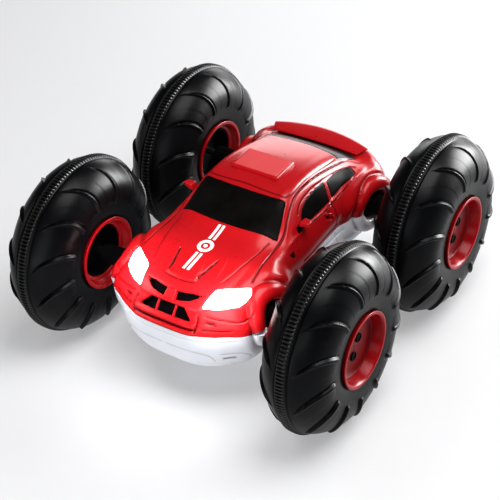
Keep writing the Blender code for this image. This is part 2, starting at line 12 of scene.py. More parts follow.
import bmesh
import bpy
import numpy as np
from mathutils import Matrix, Vector


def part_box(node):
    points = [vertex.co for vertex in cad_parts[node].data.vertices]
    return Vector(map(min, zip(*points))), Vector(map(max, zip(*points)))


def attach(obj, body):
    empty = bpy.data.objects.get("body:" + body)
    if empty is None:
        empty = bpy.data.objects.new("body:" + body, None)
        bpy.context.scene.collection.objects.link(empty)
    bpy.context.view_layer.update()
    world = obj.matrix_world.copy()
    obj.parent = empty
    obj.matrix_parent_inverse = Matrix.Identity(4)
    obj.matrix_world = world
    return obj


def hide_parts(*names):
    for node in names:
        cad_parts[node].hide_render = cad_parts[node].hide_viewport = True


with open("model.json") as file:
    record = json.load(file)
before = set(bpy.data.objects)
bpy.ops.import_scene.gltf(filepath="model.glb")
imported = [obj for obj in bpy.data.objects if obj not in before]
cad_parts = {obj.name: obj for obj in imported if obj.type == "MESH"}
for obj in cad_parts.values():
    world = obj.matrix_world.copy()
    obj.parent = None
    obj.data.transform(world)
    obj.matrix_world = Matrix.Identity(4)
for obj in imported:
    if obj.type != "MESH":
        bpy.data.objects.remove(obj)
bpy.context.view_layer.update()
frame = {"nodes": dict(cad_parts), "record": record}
MM = 0.001
FAR = 99.0  # stands for a distance that was never measured

# Sizes read from the frame
_low, _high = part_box("tyre_front_left")
R = (_high.z - _low.z) / 2
AXLE_Z = (_high.z + _low.z) / 2
AXLE_Y = -(_high.y + _low.y) / 2
WHEEL_X = (_high.x + _low.x) / 2
HALF_WIDTH = (_high.x - _low.x) / 2
ENDS = (("front", -1), ("rear", 1))
SIDES = (("left", 1), ("right", -1))

# Body lines across the car in tyre radii, from nose to tail. Each has six (x, y, z) points: the centre, the
# rail at the edge of roof or hood, the shoulder, the belt, the door and the sill at the split line.
NOSE_RED = [
    [(0, -1.765, 1), (.30, -1.75, 1), (.50, -1.68, 1),
     (.64, -1.60, 1), (.76, -1.50, 1), (.825, -1.40, 1)],
    [(0, -1.70, 1.12), (.30, -1.69, 1.12), (.50, -1.62, 1.12),
     (.66, -1.53, 1.11), (.79, -1.40, 1.08), (.84, -1.28, 1)],
    [(0, -1.49, 1.33), (.28, -1.47, 1.325), (.48, -1.42, 1.30),
     (.66, -1.30, 1.27), (.79, -1.17, 1.16), (.84, -1.08, 1)],
]
NOSE_WHITE = [
    NOSE_RED[0],
    [(0, -1.755, 1.20), (.30, -1.74, 1.20), (.50, -1.675, 1.20),
     (.65, -1.585, 1.19), (.785, -1.45, 1.17), (.845, -1.30, 1)],
    [(0, -1.70, 1.42), (.28, -1.685, 1.42), (.48, -1.62, 1.41),
     (.64, -1.52, 1.40), (.775, -1.37, 1.39), (.84, -1.12, 1)],
    [(0, -1.52, 1.51), (.30, -1.50, 1.51), (.50, -1.42, 1.50),
     (.65, -1.28, 1.475), (.78, -1.08, 1.35), (.80, -.82, 1)],
]
HOOD = [(0, -1.05, 1.43), (.36, -1.02, 1.42), (.56, -.98, 1.395),
        (.70, -.93, 1.35), (.80, -.87, 1.20), (.80, -.82, 1)]
CABIN = [
    [(0, -.62, 1.505), (.40, -.58, 1.49), (.585, -.51, 1.44),
     (.70, -.47, 1.38), (.76, -.44, 1.20), (.755, -.42, 1)],
    [(0, -.19, 1.745), (.34, -.175, 1.725), (.51, -.15, 1.68),
     (.665, -.13, 1.44), (.755, -.12, 1.20), (.74, -.12, 1)],
    [(0, .30, 1.765), (.32, .30, 1.75), (.50, .30, 1.695),
     (.66, .30, 1.42), (.745, .30, 1.20), (.715, .30, 1)],
    [(0, .96, 1.615), (.30, .955, 1.605), (.46, .925, 1.58),
     (.63, .88, 1.45), (.745, .86, 1.22), (.72, .86, 1)],
    [(0, 1.22, 1.468), (.34, 1.21, 1.463), (.54, 1.19, 1.445),
     (.66, 1.16, 1.41), (.78, 1.12, 1.25), (.82, 1.07, 1)],
    [(0, 1.47, 1.44), (.36, 1.455, 1.435), (.58, 1.41, 1.42),
     (.69, 1.34, 1.38), (.79, 1.27, 1.24), (.83, 1.22, 1)],
    [(0, 1.545, 1.25), (.36, 1.53, 1.25), (.58, 1.48, 1.24),
     (.71, 1.41, 1.22), (.79, 1.36, 1.15), (.82, 1.32, 1)],
    [(0, 1.52, 1), (.36, 1.51, 1), (.56, 1.46, 1), (.70, 1.41, 1), (.77, 1.38, 1), (.81, 1.34, 1)],
]
RED_ROWS = [*NOSE_RED, HOOD, *CABIN]
WHITE_ROWS = [*NOSE_WHITE, *CABIN]
# Grid steps between neighbouring lines, and between neighbouring points of a line
RED_STEPS = (14, 26, 50, 48, 54, 54, 72, 32, 22, 24, 26)
WHITE_STEPS = (22, 24, 24, 96, 54, 54, 72, 32, 22, 24, 26)
COLUMN_STEPS = (36, 24, 30, 26, 24)
ARCH_RADIUS = .165
NOSE_END = -1.3
SPLIT_GAP = .15 * MM
SHELL_WALL = 1.5 * MM
PANE_WALL = 1.1 * MM

# Panel outlines in tyre radii, in the two axes that they are seen in
DOOR_GLASS = [(-.112, 1.455), (-.082, 1.505), (-.015, 1.556), (.096, 1.590), (.30, 1.598),
              (.475, 1.575), (.424, 1.388), (.20, 1.392), (-.04, 1.404)]
QUARTER_GLASS = [(.528, 1.556), (.66, 1.545), (.80, 1.522), (.975, 1.480), (.962, 1.424),
                 (.80, 1.412), (.68, 1.404), (.474, 1.396)]
HEADLIGHT = [(.376, -1.566), (.396, -1.46), (.418, -1.350), (.488, -1.290), (.558, -1.243), (.698, -1.137),
             (.732, -1.20), (.722, -1.285), (.690, -1.365), (.60, -1.445), (.50, -1.512)]
UPPER_GRILLE = [(.055, 1.256), (.13, 1.260), (.24, 1.277), (.345, 1.316), (.24, 1.322), (.055, 1.312)]
LOWER_GRILLE = [(-.205, 1.220), (.205, 1.220), (.318, 1.128), (-.318, 1.128)]
VENT = [(-.490, 1.302), (-.400, 1.300), (-.405, 1.212)]
TAIL_LAMP = [(.36, 1.36), (.62, 1.35), (.66, 1.27), (.42, 1.285)]
BADGE = [(-.053, 1.318), (.053, 1.318), (.066, 1.240), (-.066, 1.240)]


# Mesh helpers


def make_mesh(name, verts, faces, material, sharp=40, shade=None):
    """A cleaned, smooth mesh from arrays of points and faces. shade darkens its vertices as painted shade."""
    mesh = bpy.data.meshes.new(name)
    mesh.from_pydata([tuple(map(float, v)) for v in verts], [], [tuple(map(int, f)) for f in faces])
    if shade is not None:
        values = np.asarray(shade, np.float32)
        mesh.attributes.new("shade", "FLOAT", "POINT").data.foreach_set("value", values)
    bm = bmesh.new()
    bm.from_mesh(mesh)
    bmesh.ops.remove_doubles(bm, verts=bm.verts, dist=.004 * MM)
    bmesh.ops.dissolve_degenerate(bm, edges=bm.edges, dist=.002 * MM)
    bmesh.ops.delete(bm, geom=[v for v in bm.verts if not v.link_faces], context="VERTS")
    bmesh.ops.recalc_face_normals(bm, faces=bm.faces)
    bm.to_mesh(mesh)
    bm.free()
    mesh.shade_smooth()
    mesh.set_sharp_from_angle(angle=radians(sharp))
    mesh.materials.append(material)
    return mesh


def put(name, mesh, body, replaces=(), spot=(0, 0, 0)):
    """An object that shows the mesh and rides on a CAD body."""
    obj = bpy.data.objects.new(name, mesh)
    bpy.context.scene.collection.objects.link(obj)
    obj.matrix_world = Matrix.Translation(spot)
    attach(obj, body)
    if replaces:
        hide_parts(*replaces)
    return obj


def make_object(name, verts, faces, body, slot, material, sharp=40, replaces=(), shade=None):
    """A named piece from arrays of points and faces."""
    return put(name, make_mesh(name, verts, faces, material, sharp, shade), body, replaces)


def ring_faces(rings, count, closed=False):
    """Quads between rings of count points. The last ring joins the first one, or the ends are capped."""
    faces = []
    for r in range(rings if closed else rings - 1):
        a, b = r * count, (r + 1) % rings * count
        faces += [(a + k, a + (k + 1) % count, b + (k + 1) % count, b + k) for k in range(count)]
    if not closed:
        last = (rings - 1) * count
        faces += [tuple(range(count)), tuple(range(last, last + count))]
    return faces


def circle(radius, count, x=0.0, y=0.0):
    angles = [2 * pi * k / count for k in range(count)]
    return [(x + radius * cos(a), y + radius * sin(a)) for a in angles]


def lathe(profile, segments):
    """Points and faces of a closed (x, radius) profile turned about the X axis."""
    verts = [(x, max(r, 1e-6) * y, max(r, 1e-6) * z) for y, z in circle(1, segments) for x, r in profile]
    return verts, ring_faces(segments, len(profile), closed=True)


def taken(bm):
    """The points and faces of a bmesh, which is freed."""
    bm.verts.index_update()
    made = [tuple(v.co) for v in bm.verts], [tuple(v.index for v in f.verts) for f in bm.faces]
    bm.free()
    return made


def rounded(points, radius, steps=3, closed=True):
    """The outline with its corners turned into small arcs."""
    made = []
    n = len(points)
    for k in range(n):
        here = Vector(points[k])
        if not closed and k in (0, n - 1):
            made.append(tuple(here))
            continue
        before, after = Vector(points[k - 1]), Vector(points[(k + 1) % n])
        reach = min(radius, (before - here).length * .45, (after - here).length * .45)
        start = here + (before - here).normalized() * reach
        end = here + (after - here).normalized() * reach
        for s in range(steps + 1):
            t = s / steps
            made.append(tuple(start * (1 - t) ** 2 + here * 2 * t * (1 - t) + end * t * t))
    return made


def moved(verts, offset, turn=None):
    """The points turned and then moved by the offset."""
    matrix = Matrix.Translation(offset) @ (turn.to_4x4() if turn else Matrix.Identity(4))
    return [tuple(matrix @ Vector(v)) for v in verts]


def joined(*parts):
    """Several (verts, faces) meshes as one."""
    verts, faces = [], []
    for v, f in parts:
        base = len(verts)
        verts += list(v)
        faces += [tuple(i + base for i in face) for face in f]
    return verts, faces


def prism(outline, z0, z1):
    """A prism on an (x, y) outline."""
    verts = [(x, y, z) for z in (z0, z1) for x, y in outline]
    return verts, ring_faces(2, len(outline))


# Materials


def node(tree, kind, **inputs):
    made = tree.nodes.new(kind)
    for key, value in inputs.items():
        made.inputs[key.replace("_", " ")].default_value = value
    return made


def surface_material(name, colour, roughness, vary, grain=2500, bump=.02, blotch=60, rough_vary=.06,
                     metallic=0.0, coat=0.0, coat_roughness=.1, specular=.5, wear=0.0, cavity=.7):
    """Moulded surface. vary and rough_vary set its slow colour and gloss variation, which blotch scales, and
    grain and bump its fine relief. Its edges lighten, partly as worn edges and partly as a painted highlight,
    and its hollows and shaded vertices darken with painted shade."""
    made = bpy.data.materials.new(name)
    made.use_nodes = True
    tree = made.node_tree
    shader = tree.nodes["Principled BSDF"]
    for socket, value in (("Metallic", metallic), ("Coat Weight", coat), ("Coat Roughness", coat_roughness),
                          ("Specular IOR Level", specular)):
        shader.inputs[socket].default_value = value
    where = node(tree, "ShaderNodeTexCoord")
    slow = node(tree, "ShaderNodeTexNoise", Scale=blotch, Detail=4.0)
    fine = node(tree, "ShaderNodeTexNoise", Scale=grain, Detail=2.0)
    for noise in (slow, fine):
        tree.links.new(where.outputs["Object"], noise.inputs["Vector"])
    ramp = tree.nodes.new("ShaderNodeValToRGB")
    low, high = ramp.color_ramp.elements
    low.position, high.position = .3, .7
    low.color = (*[max(0, c * (1 - vary)) for c in colour], 1)
    high.color = (*[min(1, c * (1 + vary) + .002) for c in colour], 1)
    tree.links.new(slow.outputs["Fac"], ramp.inputs["Fac"])
    colour_out = ramp.outputs["Color"]
    pointiness = node(tree, "ShaderNodeNewGeometry").outputs["Pointiness"]
    grooves = node(tree, "ShaderNodeAttribute")
    grooves.attribute_name = "shade"

    def blend_to(source, start, stop, amount, target):
        nonlocal colour_out
        band = node(tree, "ShaderNodeMapRange", From_Min=start, From_Max=stop, To_Max=amount)
        tree.links.new(source, band.inputs["Value"])
        mix = tree.nodes.new("ShaderNodeMix")
        mix.data_type = "RGBA"
        mix.inputs["B"].default_value = (*target, 1)
        tree.links.new(band.outputs["Result"], mix.inputs["Factor"])
        tree.links.new(colour_out, mix.inputs["A"])
        colour_out = mix.outputs["Result"]

    # painted shade: hollows found by pointiness, and vertices marked by the shade attribute, darken towards
    # this colour
    painted_shade = [c * .10 for c in colour]
    # edges lighten, partly as worn edges and partly as a painted highlight
    if wear:
        blend_to(pointiness, .52, .62, wear, [min(1, c * 1.6 + .05) for c in colour])
    blend_to(pointiness, .490, .40, cavity, painted_shade)
    blend_to(grooves.outputs["Fac"], 0, 1, .95, painted_shade)
    tree.links.new(colour_out, shader.inputs["Base Color"])
    rough = node(tree, "ShaderNodeMapRange", To_Min=roughness - rough_vary, To_Max=roughness + rough_vary)
    tree.links.new(slow.outputs["Fac"], rough.inputs["Value"])
    tree.links.new(rough.outputs["Result"], shader.inputs["Roughness"])
    relief = node(tree, "ShaderNodeBump", Strength=bump, Distance=.0002)
    tree.links.new(fine.outputs["Fac"], relief.inputs["Height"])
    tree.links.new(relief.outputs["Normal"], shader.inputs["Normal"])
    return made


def glowing(name, colour, strength, roughness=.15, vary=.03):
    made = surface_material(name, colour, roughness, vary, bump=.01)
    shader = made.node_tree.nodes["Principled BSDF"]
    shader.inputs["Emission Color"].default_value = (*colour, 1)
    shader.inputs["Emission Strength"].default_value = strength
    return made


def build_materials():
    """Every material by its short name. The numbers are in surface_material's order."""
    m = surface_material
    return {
        "red": m("moulded_red", (.46, .013, .019), .28, .05, 1800, .03, 35, .025, coat=.10, specular=.35,
                 wear=.10),
        # a lighter red for the roof hatch's top plate, as a painted reflection
        "red_hatch_reflection": m("hatch_top_painted_reflection", (.62, .075, .08), .38, .07, 1800, .03, 35, .05, coat=.3,
                       coat_roughness=.3, wear=.3),
        "red_dark": m("rim_red_dish", (.33, .006, .011), .26, .10, 1800, .04, specular=.28, wear=.25),
        # the dish floor: a darker copy of the rim's red, as painted shade in the dish
        "floor_red_painted_shade": m("rim_floor_painted_shade", (.20, .004, .007), .38, .15, 1800, .04, specular=.3),
        "white": m("moulded_white", (.80, .82, .87), .30, .03, 1800, .03, 35, .05, coat=.2,
                   coat_roughness=.12, cavity=.5),
        "black_glass": m("window_black", (.009, .008, .0075), .34, .25, 1500, .05, 80, .05, specular=.07),
        "grey_glass": m("window_grey", (.030, .030, .031), .32, .2, 1500, .05, 80, .05, specular=.3),
        "rubber": m("tyre_rubber", (.0060, .0063, .0076), .34, .30, 1400, .10, 25, specular=.22, wear=.35),
        "cord": m("seam_cord", (.006, .006, .0065), .32, .30, 2600, .15, 90, .08, specular=.45, wear=.7),
        "black": m("black_plastic", (.0045, .0045, .005), .50, .25, 1600, .08, specular=.12),
        "paint": m("white_print", (.85, .85, .84), .35, .03, 2500, .02, 120),
        "lens": glowing("lit_lens", (1.0, .99, .97), 1.6),
        "led": glowing("lit_led", (1.0, .98, .92), 9.0),
        "steel": m("bright_steel", (.50, .50, .52), .30, .10, 1200, .05, 50, .08, metallic=1.0),
        "tail": m("tail_lamp_red", (.30, .003, .005), .16, .08, 900, .02, 60, .04, coat=.6),
        "nylon": m("nylon", (.72, .70, .63), .45, .05, 1500, .05, 90),
        "board": m("board_green", (.010, .12, .035), .42, .20, 900, .12, 300, .1),
        "wrap": m("battery_wrap", (.03, .10, .38), .22, .08, 400, .08, 30, coat=.4),
        "floor": glowing("paper_floor", (.50, .50, .505), .46, .60, .004),
    }


# Body surface


def spline(before, a, b, after, t):
    """A point between a and b on the smooth curve through four points."""
    return (a * 2 + (b - before) * t + (before * 2 - a * 5 + b * 4 - after) * t * t
            + (a * 3 - before - b * 3 + after) * t * t * t) / 2


def through(points, steps, ghost=None):
    """A smooth curve through the points. ghost is the point before the first one."""
    first = ghost if ghost is not None else points[0] * 2 - points[1]
    padded = [first, *points, points[-1] * 2 - points[-2]]
    made = [spline(*padded[k:k + 4], s / count) for k, count in enumerate(steps) for s in range(count)]
    return np.array([*made, points[-1]])


def smoothstep(low, high, value):
    t = np.clip((value - low) / (high - low), 0, 1)
    return t * t * (3 - 2 * t)


def nearest(points, line):
    """Each point's distance to a run of segments, the nearest spot on it, and how far along it that is."""
    best, spot, along = np.full(len(points), FAR), points.copy(), np.zeros(len(points))
    for k, (start, end) in enumerate(zip(line, line[1:])):
        way = end - start
        t = np.clip(((points - start) @ way) / max(way @ way, 1e-12), 0, 1)
        here = start + t[:, None] * way
        distance = np.linalg.norm(points - here, axis=1)
        closer = distance < best
        best[closer], spot[closer], along[closer] = distance[closer], here[closer], k + t[closer]
    return best, spot, along / (len(line) - 1)


class Surface:
    """A fine grid over the body in tyre radii, with offsets pushed along its normals and painted shade on its
    vertices.
    """

    def __init__(self, rows, row_steps):
        rows = np.array(rows, float)
        half = through([rows[:, k] for k in range(6)], COLUMN_STEPS, rows[:, 1] * [-1, 1, 1])
        grid = through([half[:, r] for r in range(len(rows))], row_steps)
        # the flank swells round the axles
        swell, swell_radius, swell_blend = .05, .56, .16
        reach = np.hypot(np.abs(grid[..., 1]) - AXLE_Y / R, grid[..., 2] - 1)
        flank = np.clip((grid[..., 0] - .55) / .15, 0, 1)
        grid[..., 0] += swell * flank * smoothstep(0, 1, (swell_radius - reach) / swell_blend)
        grid[..., 2] = np.maximum(grid[..., 2], 1 + SPLIT_GAP / R)
        full = np.concatenate([grid[:, :0:-1] * [-1, 1, 1], grid], 1)
        normal = np.cross(np.gradient(full, axis=0), np.gradient(full, axis=1))
        normal /= np.linalg.norm(normal, axis=2)[..., None] + 1e-12
        if normal[..., 2].mean() < 0:
            normal = -normal
        self.points = full.reshape(-1, 3)
        self.normals = normal.reshape(-1, 3)
        index = np.arange(len(self.points)).reshape(full.shape[:2])
        corners = [index[:-1, :-1], index[:-1, 1:], index[1:, 1:], index[1:, :-1]]
        self.faces = np.stack(corners, -1).reshape(-1, 4)
        self.push = np.zeros(len(self.points))
        self.shade = np.zeros(len(self.points))
        self.folded = self.points.copy()
        self.folded[:, 0] = np.abs(self.folded[:, 0])

    def snapped(self, line, per_span=10, smoothings=10):
        """A smooth line through the given points, laid on the surface of the left half."""
        line = [np.array(p, float) for p in line]
        fine = through(line, [per_span] * (len(line) - 1))
        made = np.array([self.folded[((self.folded - p) ** 2).sum(1).argmin()] for p in fine])
        for _ in range(smoothings):
            made[1:-1] = (made[:-2] + made[1:-1] * 2 + made[2:]) / 4
        return made

    def distance(self, line):
        """Each vertex's distance to a line in millimetres, and how far along it is from 0 to 1."""
        line = self.snapped(line)
        low, high = line.min(0) - .12, line.max(0) + .12
        near = ((self.folded > low) & (self.folded < high)).all(1)
        best, share = np.full(len(self.points), FAR), np.zeros(len(self.points))
        best[near], _, share[near] = nearest(self.folded[near], line)
        return best * R / MM, share

    def dent(self, depth, mask, painted_shade):
        """Sinks the surface by depth in mm times the mask and darkens it there with painted shade."""
        self.push -= depth * mask
        self.shade = np.maximum(self.shade, painted_shade * mask)

    def groove(self, line, depth, width, fade=0.0, painted_shade=.8):
        """A rounded groove in mm, or a ridge when depth is negative. fade tapers that share of its ends. A
        groove is darkened with painted shade, a ridge is not.
        """
        d, along = self.distance(line)
        bell = np.exp(-(d / width) ** 2)
        if fade:
            bell *= smoothstep(0, fade, along) * smoothstep(0, fade, 1 - along)
        self.dent(depth, bell, painted_shade if depth > 0 else 0)

    def signed(self, outline, axes, where, both=False):
        """Each vertex's distance in mm to an outline, negative inside, and its place moved to the outline."""
        flat = (self.folded if both else self.points)[:, axes]
        outline = np.array(outline, float)
        low, high = outline.min(0) - .1, outline.max(0) + .1
        near = np.where(((flat > low) & (flat < high)).all(1) & where)[0]
        p = flat[near]
        closed = np.concatenate([outline, outline[:1]])
        best, border, _ = nearest(p, closed)
        inside = np.zeros(len(p), bool)
        for s, e in zip(closed, closed[1:]):
            if s[1] != e[1]:
                crosses = (s[1] > p[:, 1]) != (e[1] > p[:, 1])
                inside ^= crosses & (p[:, 0] < s[0] + (p[:, 1] - s[1]) * (e[0] - s[0]) / (e[1] - s[1]))
        signed = np.full(len(self.points), FAR)
        signed[near] = np.where(inside, -best, best) * R / MM
        # each vertex moves to the border in the two axes, and along the third one to stay on the surface
        target = self.points.copy()
        other = ({0, 1, 2} - set(axes)).pop()
        steep = self.normals[near, other]
        steep = np.where(np.abs(steep) < .15, np.copysign(.15, steep), steep)
        half = np.where((self.points[near, 0] < 0) & both, -1.0, 1.0)
        for k, axis in enumerate(axes):
            shift = (border - p)[:, k] * (half if axis == 0 else 1)
            target[near, axis] += shift
            target[near, other] -= np.clip(shift * self.normals[near, axis] / steep, -.02, .02)
        return signed, target

    def round_edge(self, signed, depth, width, painted_shade):
        """Turns the surface down towards a cut edge and darkens the edge with painted shade."""
        self.dent(depth, (1 - np.clip(np.abs(signed) / width, 0, 1)) ** 2, painted_shade)

    def piece(self, cuts, keep=(), drop=0.0, wall=SHELL_WALL, side=1):
        """Points, faces and shade of a closed skin, without the insides of cuts and the outsides of keep."""
        points, faces = self.points.copy(), self.faces
        for signed, target in [*cuts, *[(-signed, target) for signed, target in keep]]:
            gone = signed < 0
            faces = faces[~gone[faces].all(1)]
            points[gone] = target[gone]
        used, index = np.unique(faces, return_inverse=True)
        faces = index.reshape(-1, 4)
        count = len(used)
        outer = points + self.normals * ((self.push - drop) * MM / R)[:, None]
        inner = points - self.normals * ((wall + drop * MM) / R)
        made = np.concatenate([outer[used], inner[used]]) * R
        made[:, 2] = AXLE_Z + side * np.maximum(made[:, 2] - R, SPLIT_GAP)
        # the skin's open edges belong to one face only, and a wall joins its two sides there
        ends = np.concatenate([faces[:, [k, (k + 1) % 4]] for k in range(4)])
        _, first, times = np.unique(np.sort(ends, axis=1), axis=0, return_index=True, return_counts=True)
        rim = ends[first[times == 1]]
        walls = np.stack([rim[:, 1], rim[:, 0], rim[:, 0] + count, rim[:, 1] + count], -1)
        faces = np.concatenate([faces, faces[:, ::-1] + count, walls])
        return made, faces, np.concatenate([self.shade[used], np.zeros(count)])


def at(x, y, z, side=1):
    """A point given in tyre radii, on the upper or the lower car."""
    return Vector((x * R, y * R, AXLE_Z + side * (z - 1) * R))


def build_body(prefix, side, rows, row_steps, paint, slot, mats):
    """One car shell with its panes. Returns the surface it was made from."""
    s = Surface(rows, row_steps)
    red = side > 0
    reach = shape_panels(s)
    if red:
        shape_red_front(s)
    else:
        # the white car keeps only .35 of the painted shade in its grooves
        s.shade *= .35
        shape_white_front(s)
    # the shell's edge turns in a little over the last bit above the split, both in mm
    turn_in, turn_height = .35, .9
    s.push -= turn_in * np.clip(1 - (s.points[:, 2] - 1) * R / MM / turn_height, 0, 1) ** 2

    cuts, panes = [], []

    def window(outline, axes, where, both=True, radius=.008, inset=.25, painted_shade=.5):
        """Cuts a hole with a rounded edge, darkened with painted shade. Returns the pane's outline, inset in
        mm from it.
        """
        hole = s.signed(rounded(outline, radius), axes, where, both)
        s.round_edge(hole[0], .25, .6, painted_shade)
        cuts.append(hole)
        return hole[0] + inset, hole[1]

    def pane(name, colour, pane_slot, nodes, hole, drop, x_side=None):
        panes.append((name, colour, pane_slot, nodes, hole, drop, x_side))

    above = (s.normals[:, 2] > .12) & (s.points[:, 2] > 1.38)
    flank = s.folded[:, 0] > .40
    windshield = bowed_outline([(.592, -.498), (.503, -.160), (-.503, -.160), (-.592, -.498)],
                               (.004, -.052, .004, .085), (12, 30, 12, 30))
    rear = bowed_outline([(.545, 1.205), (-.545, 1.205), (-.490, .920), (.490, .920)],
                         (.030, 0, -.040, 0), (24, 6, 24, 6))
    pane("windshield", "black_glass", "window_black", [f"{prefix}_windshield"],
         window(windshield, [0, 1], above, False, .012), .2)
    pane("rear_window", "grey_glass", "window_grey", [f"{prefix}_rear_window"],
         window(rear, [0, 1], above, False, .012), .2)
    door = window(DOOR_GLASS, [1, 2], flank)
    quarter = window(QUARTER_GLASS, [1, 2], flank)
    lamp = window(TAIL_LAMP, [0, 2], s.points[:, 1] > 1.35, radius=.012)
    for label, x_side in SIDES:
        glass = [f"{prefix}_side_glass_{label}"]
        pane(f"door_glass_{label}", "black_glass", "window_black", glass, door, .3, x_side)
        pane(f"quarter_glass_{label}", "black_glass", "window_black", [], quarter, .3, x_side)
        pane(f"tail_lamp_{label}", "tail", "red_body", [], lamp, .1, x_side)
    if red:
        lens = window(HEADLIGHT, [0, 1], s.normals[:, 2] > .02, radius=.010, inset=.3, painted_shade=.2)
        vent = window(VENT, [1, 2], flank, radius=.004, inset=.1)
        for label, x_side in SIDES:
            lens_node = [f"headlight_lens_{label}"]
            pane(f"lamp_glass_{label}", "lens", "lens_clear", lens_node, lens, .12, x_side)
            pane(f"side_vent_{label}", "black", "black_plastic", [], vent, .9, x_side)
        for outline, both in ((UPPER_GRILLE, True), (LOWER_GRILLE, False)):
            cuts.append(s.signed(rounded(outline, .006), [0, 2], s.points[:, 1] < NOSE_END, both))
            s.round_edge(cuts[-1][0], .3, .8, .5)
    # arches round the axles, their edges darkened with painted shade
    axle = np.copysign(AXLE_Y / R, s.points[:, 1])
    away = (s.points - np.stack([s.points[:, 0], axle, np.ones(len(axle))], -1))
    target = s.points - away * (1 - ARCH_RADIUS / np.maximum(reach, 1e-6))[:, None]
    distance = np.where(s.folded[:, 0] > .5, (reach - ARCH_RADIUS) * R / MM, FAR)
    cuts.append((distance, target))
    s.round_edge(distance, .5, .9, .6)

    verts, faces, shade = s.piece(cuts, side=side)
    make_object(f"{prefix}_body", verts, faces, "root", slot, paint, 50, [f"{prefix}_shell"], shade)
    saved = s.push, s.shade
    s.shade = np.zeros(len(s.points))
    for name, colour, pane_slot, nodes, (signed, border), drop, x_side in panes:
        if x_side:
            signed = np.where(s.points[:, 0] * x_side > 0, signed, FAR)
        s.push = -.25 * (1 - np.clip(-signed / .6, 0, 1)) ** 2
        verts, faces, shade = s.piece([], [(signed, border)], drop, PANE_WALL, side)
        make_object(f"{prefix}_{name}", verts, faces, "root", pane_slot, mats[colour], 50, nodes, shade)
    s.push, s.shade = saved
    return s


# Wheels


def tyre_curve(steps):
    """Outside of the tyre from the seam to the bead as (x, radius) in mm, before ribs."""
    rib_height = 1.5
    crown, widest = 1.06, 39.0
    half, radius = HALF_WIDTH / MM - rib_height - .05, R / MM - rib_height
    bead_x, bead_radius = 20.8, 24.7
    made = []
    for a in np.linspace(0, pi / 2, steps + 1):
        made.append((half * sin(a) ** crown, widest + (radius - widest) * max(0, cos(a)) ** crown))
    for a in np.linspace(0, pi / 2, steps // 2 + 1)[1:]:
        made.append((half - (half - bead_x) * (1 - cos(a)), widest - (widest - bead_radius) * sin(a)))
    return np.array(made)


def tyre_mesh():
    """A hollow balloon tyre with crescent ribs that sweep from the seam and end bluntly on the sidewall."""
    ribs, columns, steps, wall = 13, 624, 60, 2.0
    curve = tyre_curve(steps)
    length = np.concatenate([[0], np.cumsum(np.linalg.norm(np.diff(curve, axis=0), axis=1))])
    tangent = np.gradient(curve, axis=0)
    tangent /= np.linalg.norm(tangent, axis=1)[:, None]
    normal = np.stack([-tangent[:, 1], tangent[:, 0]], -1)
    angle = 2 * pi * np.arange(columns) / columns
    # the ribs run from beside the seam to a radius on the sidewall, both in mm
    start, end_radius = 6.0, 35
    end = length[np.argmin(np.abs(curve[:, 1] - end_radius) + (curve[:, 0] < 15) * FAR)]
    t = (length - start) / (end - start)
    inside = np.clip(t, 0, 1)
    sweep = -radians(25) * inside * (1.5 - .9 * inside)
    pitch = 2 * pi / ribs
    # distance across the rib in mm, positive on the side it leans away from
    phase = (angle[:, None] - sweep) / pitch
    across = (phase - np.round(phase)) * pitch * curve[:, 1]
    taper = smoothstep(0, .22, t) * smoothstep(0, .07, 1 - t)
    width = .45 + 1.05 * inside ** .8
    crest = np.exp(-np.abs(across / width) ** 4)
    lean = np.exp(-np.clip(across, 0, None) / 6) * (across > 0)
    foot = np.exp(-((across + width + .9) / .75) ** 2) * taper
    beside_seam = np.exp(-((length - 4.2) / .55) ** 2)
    lift = taper * (1.5 * crest + .6 * lean * (1 - crest)) - .55 * foot - .6 * beside_seam
    outer = curve + normal * lift[:, :, None]
    inner = np.repeat((curve - normal * wall)[None, len(curve) - 4::-8], columns, 0)
    half = np.concatenate([outer, inner], 1)
    # painted shade in the groove at each rib's foot and in the one beside the seam
    shade = np.concatenate([np.maximum(foot, beside_seam), np.zeros(inner.shape[:2])], 1)
    # the ring of one column: left outside, left inside, right inside, right outside
    ring = np.concatenate([half, half[:, ::-1] * [-1, 1]], 1) * MM
    turned = [ring[..., 0], ring[..., 1] * np.cos(angle)[:, None], ring[..., 1] * np.sin(angle)[:, None]]
    verts = np.stack(turned, -1).reshape(-1, 3)
    shade = np.concatenate([shade, shade[:, ::-1]], 1).reshape(-1)
    return verts, ring_faces(columns, ring.shape[1], closed=True), shade


def seam_mesh():
    """The corded ribbon round the tread: a low band with fine teeth across it."""
    teeth, tooth = 156, (0, 0, .65, .95, .95, .65)
    base, tooth_reach, valley_shade = R / MM - 2.5, 3.4, .9
    band = [(-3.5, 0), (-3.3, .9), (-2.7, 1.35), (-1.2, 1.55), (0, 1.55), (1.2, 1.55), (2.7, 1.35), (3.3, .9),
            (3.5, 0), (2.0, -.6), (-2.0, -.6)]
    columns = teeth * len(tooth)
    verts, shade = [], []
    for c, (y, z) in enumerate(circle(MM, columns)):
        rise = tooth[c % len(tooth)]
        for x, h in band:
            r = base + h + (rise * min(1, (tooth_reach - abs(x)) / .6) if h > .5 else 0)
            verts.append((x * MM, r * y, r * z))
            shade.append(0 if rise else valley_shade)
    return verts, ring_faces(columns, len(band), closed=True), shade


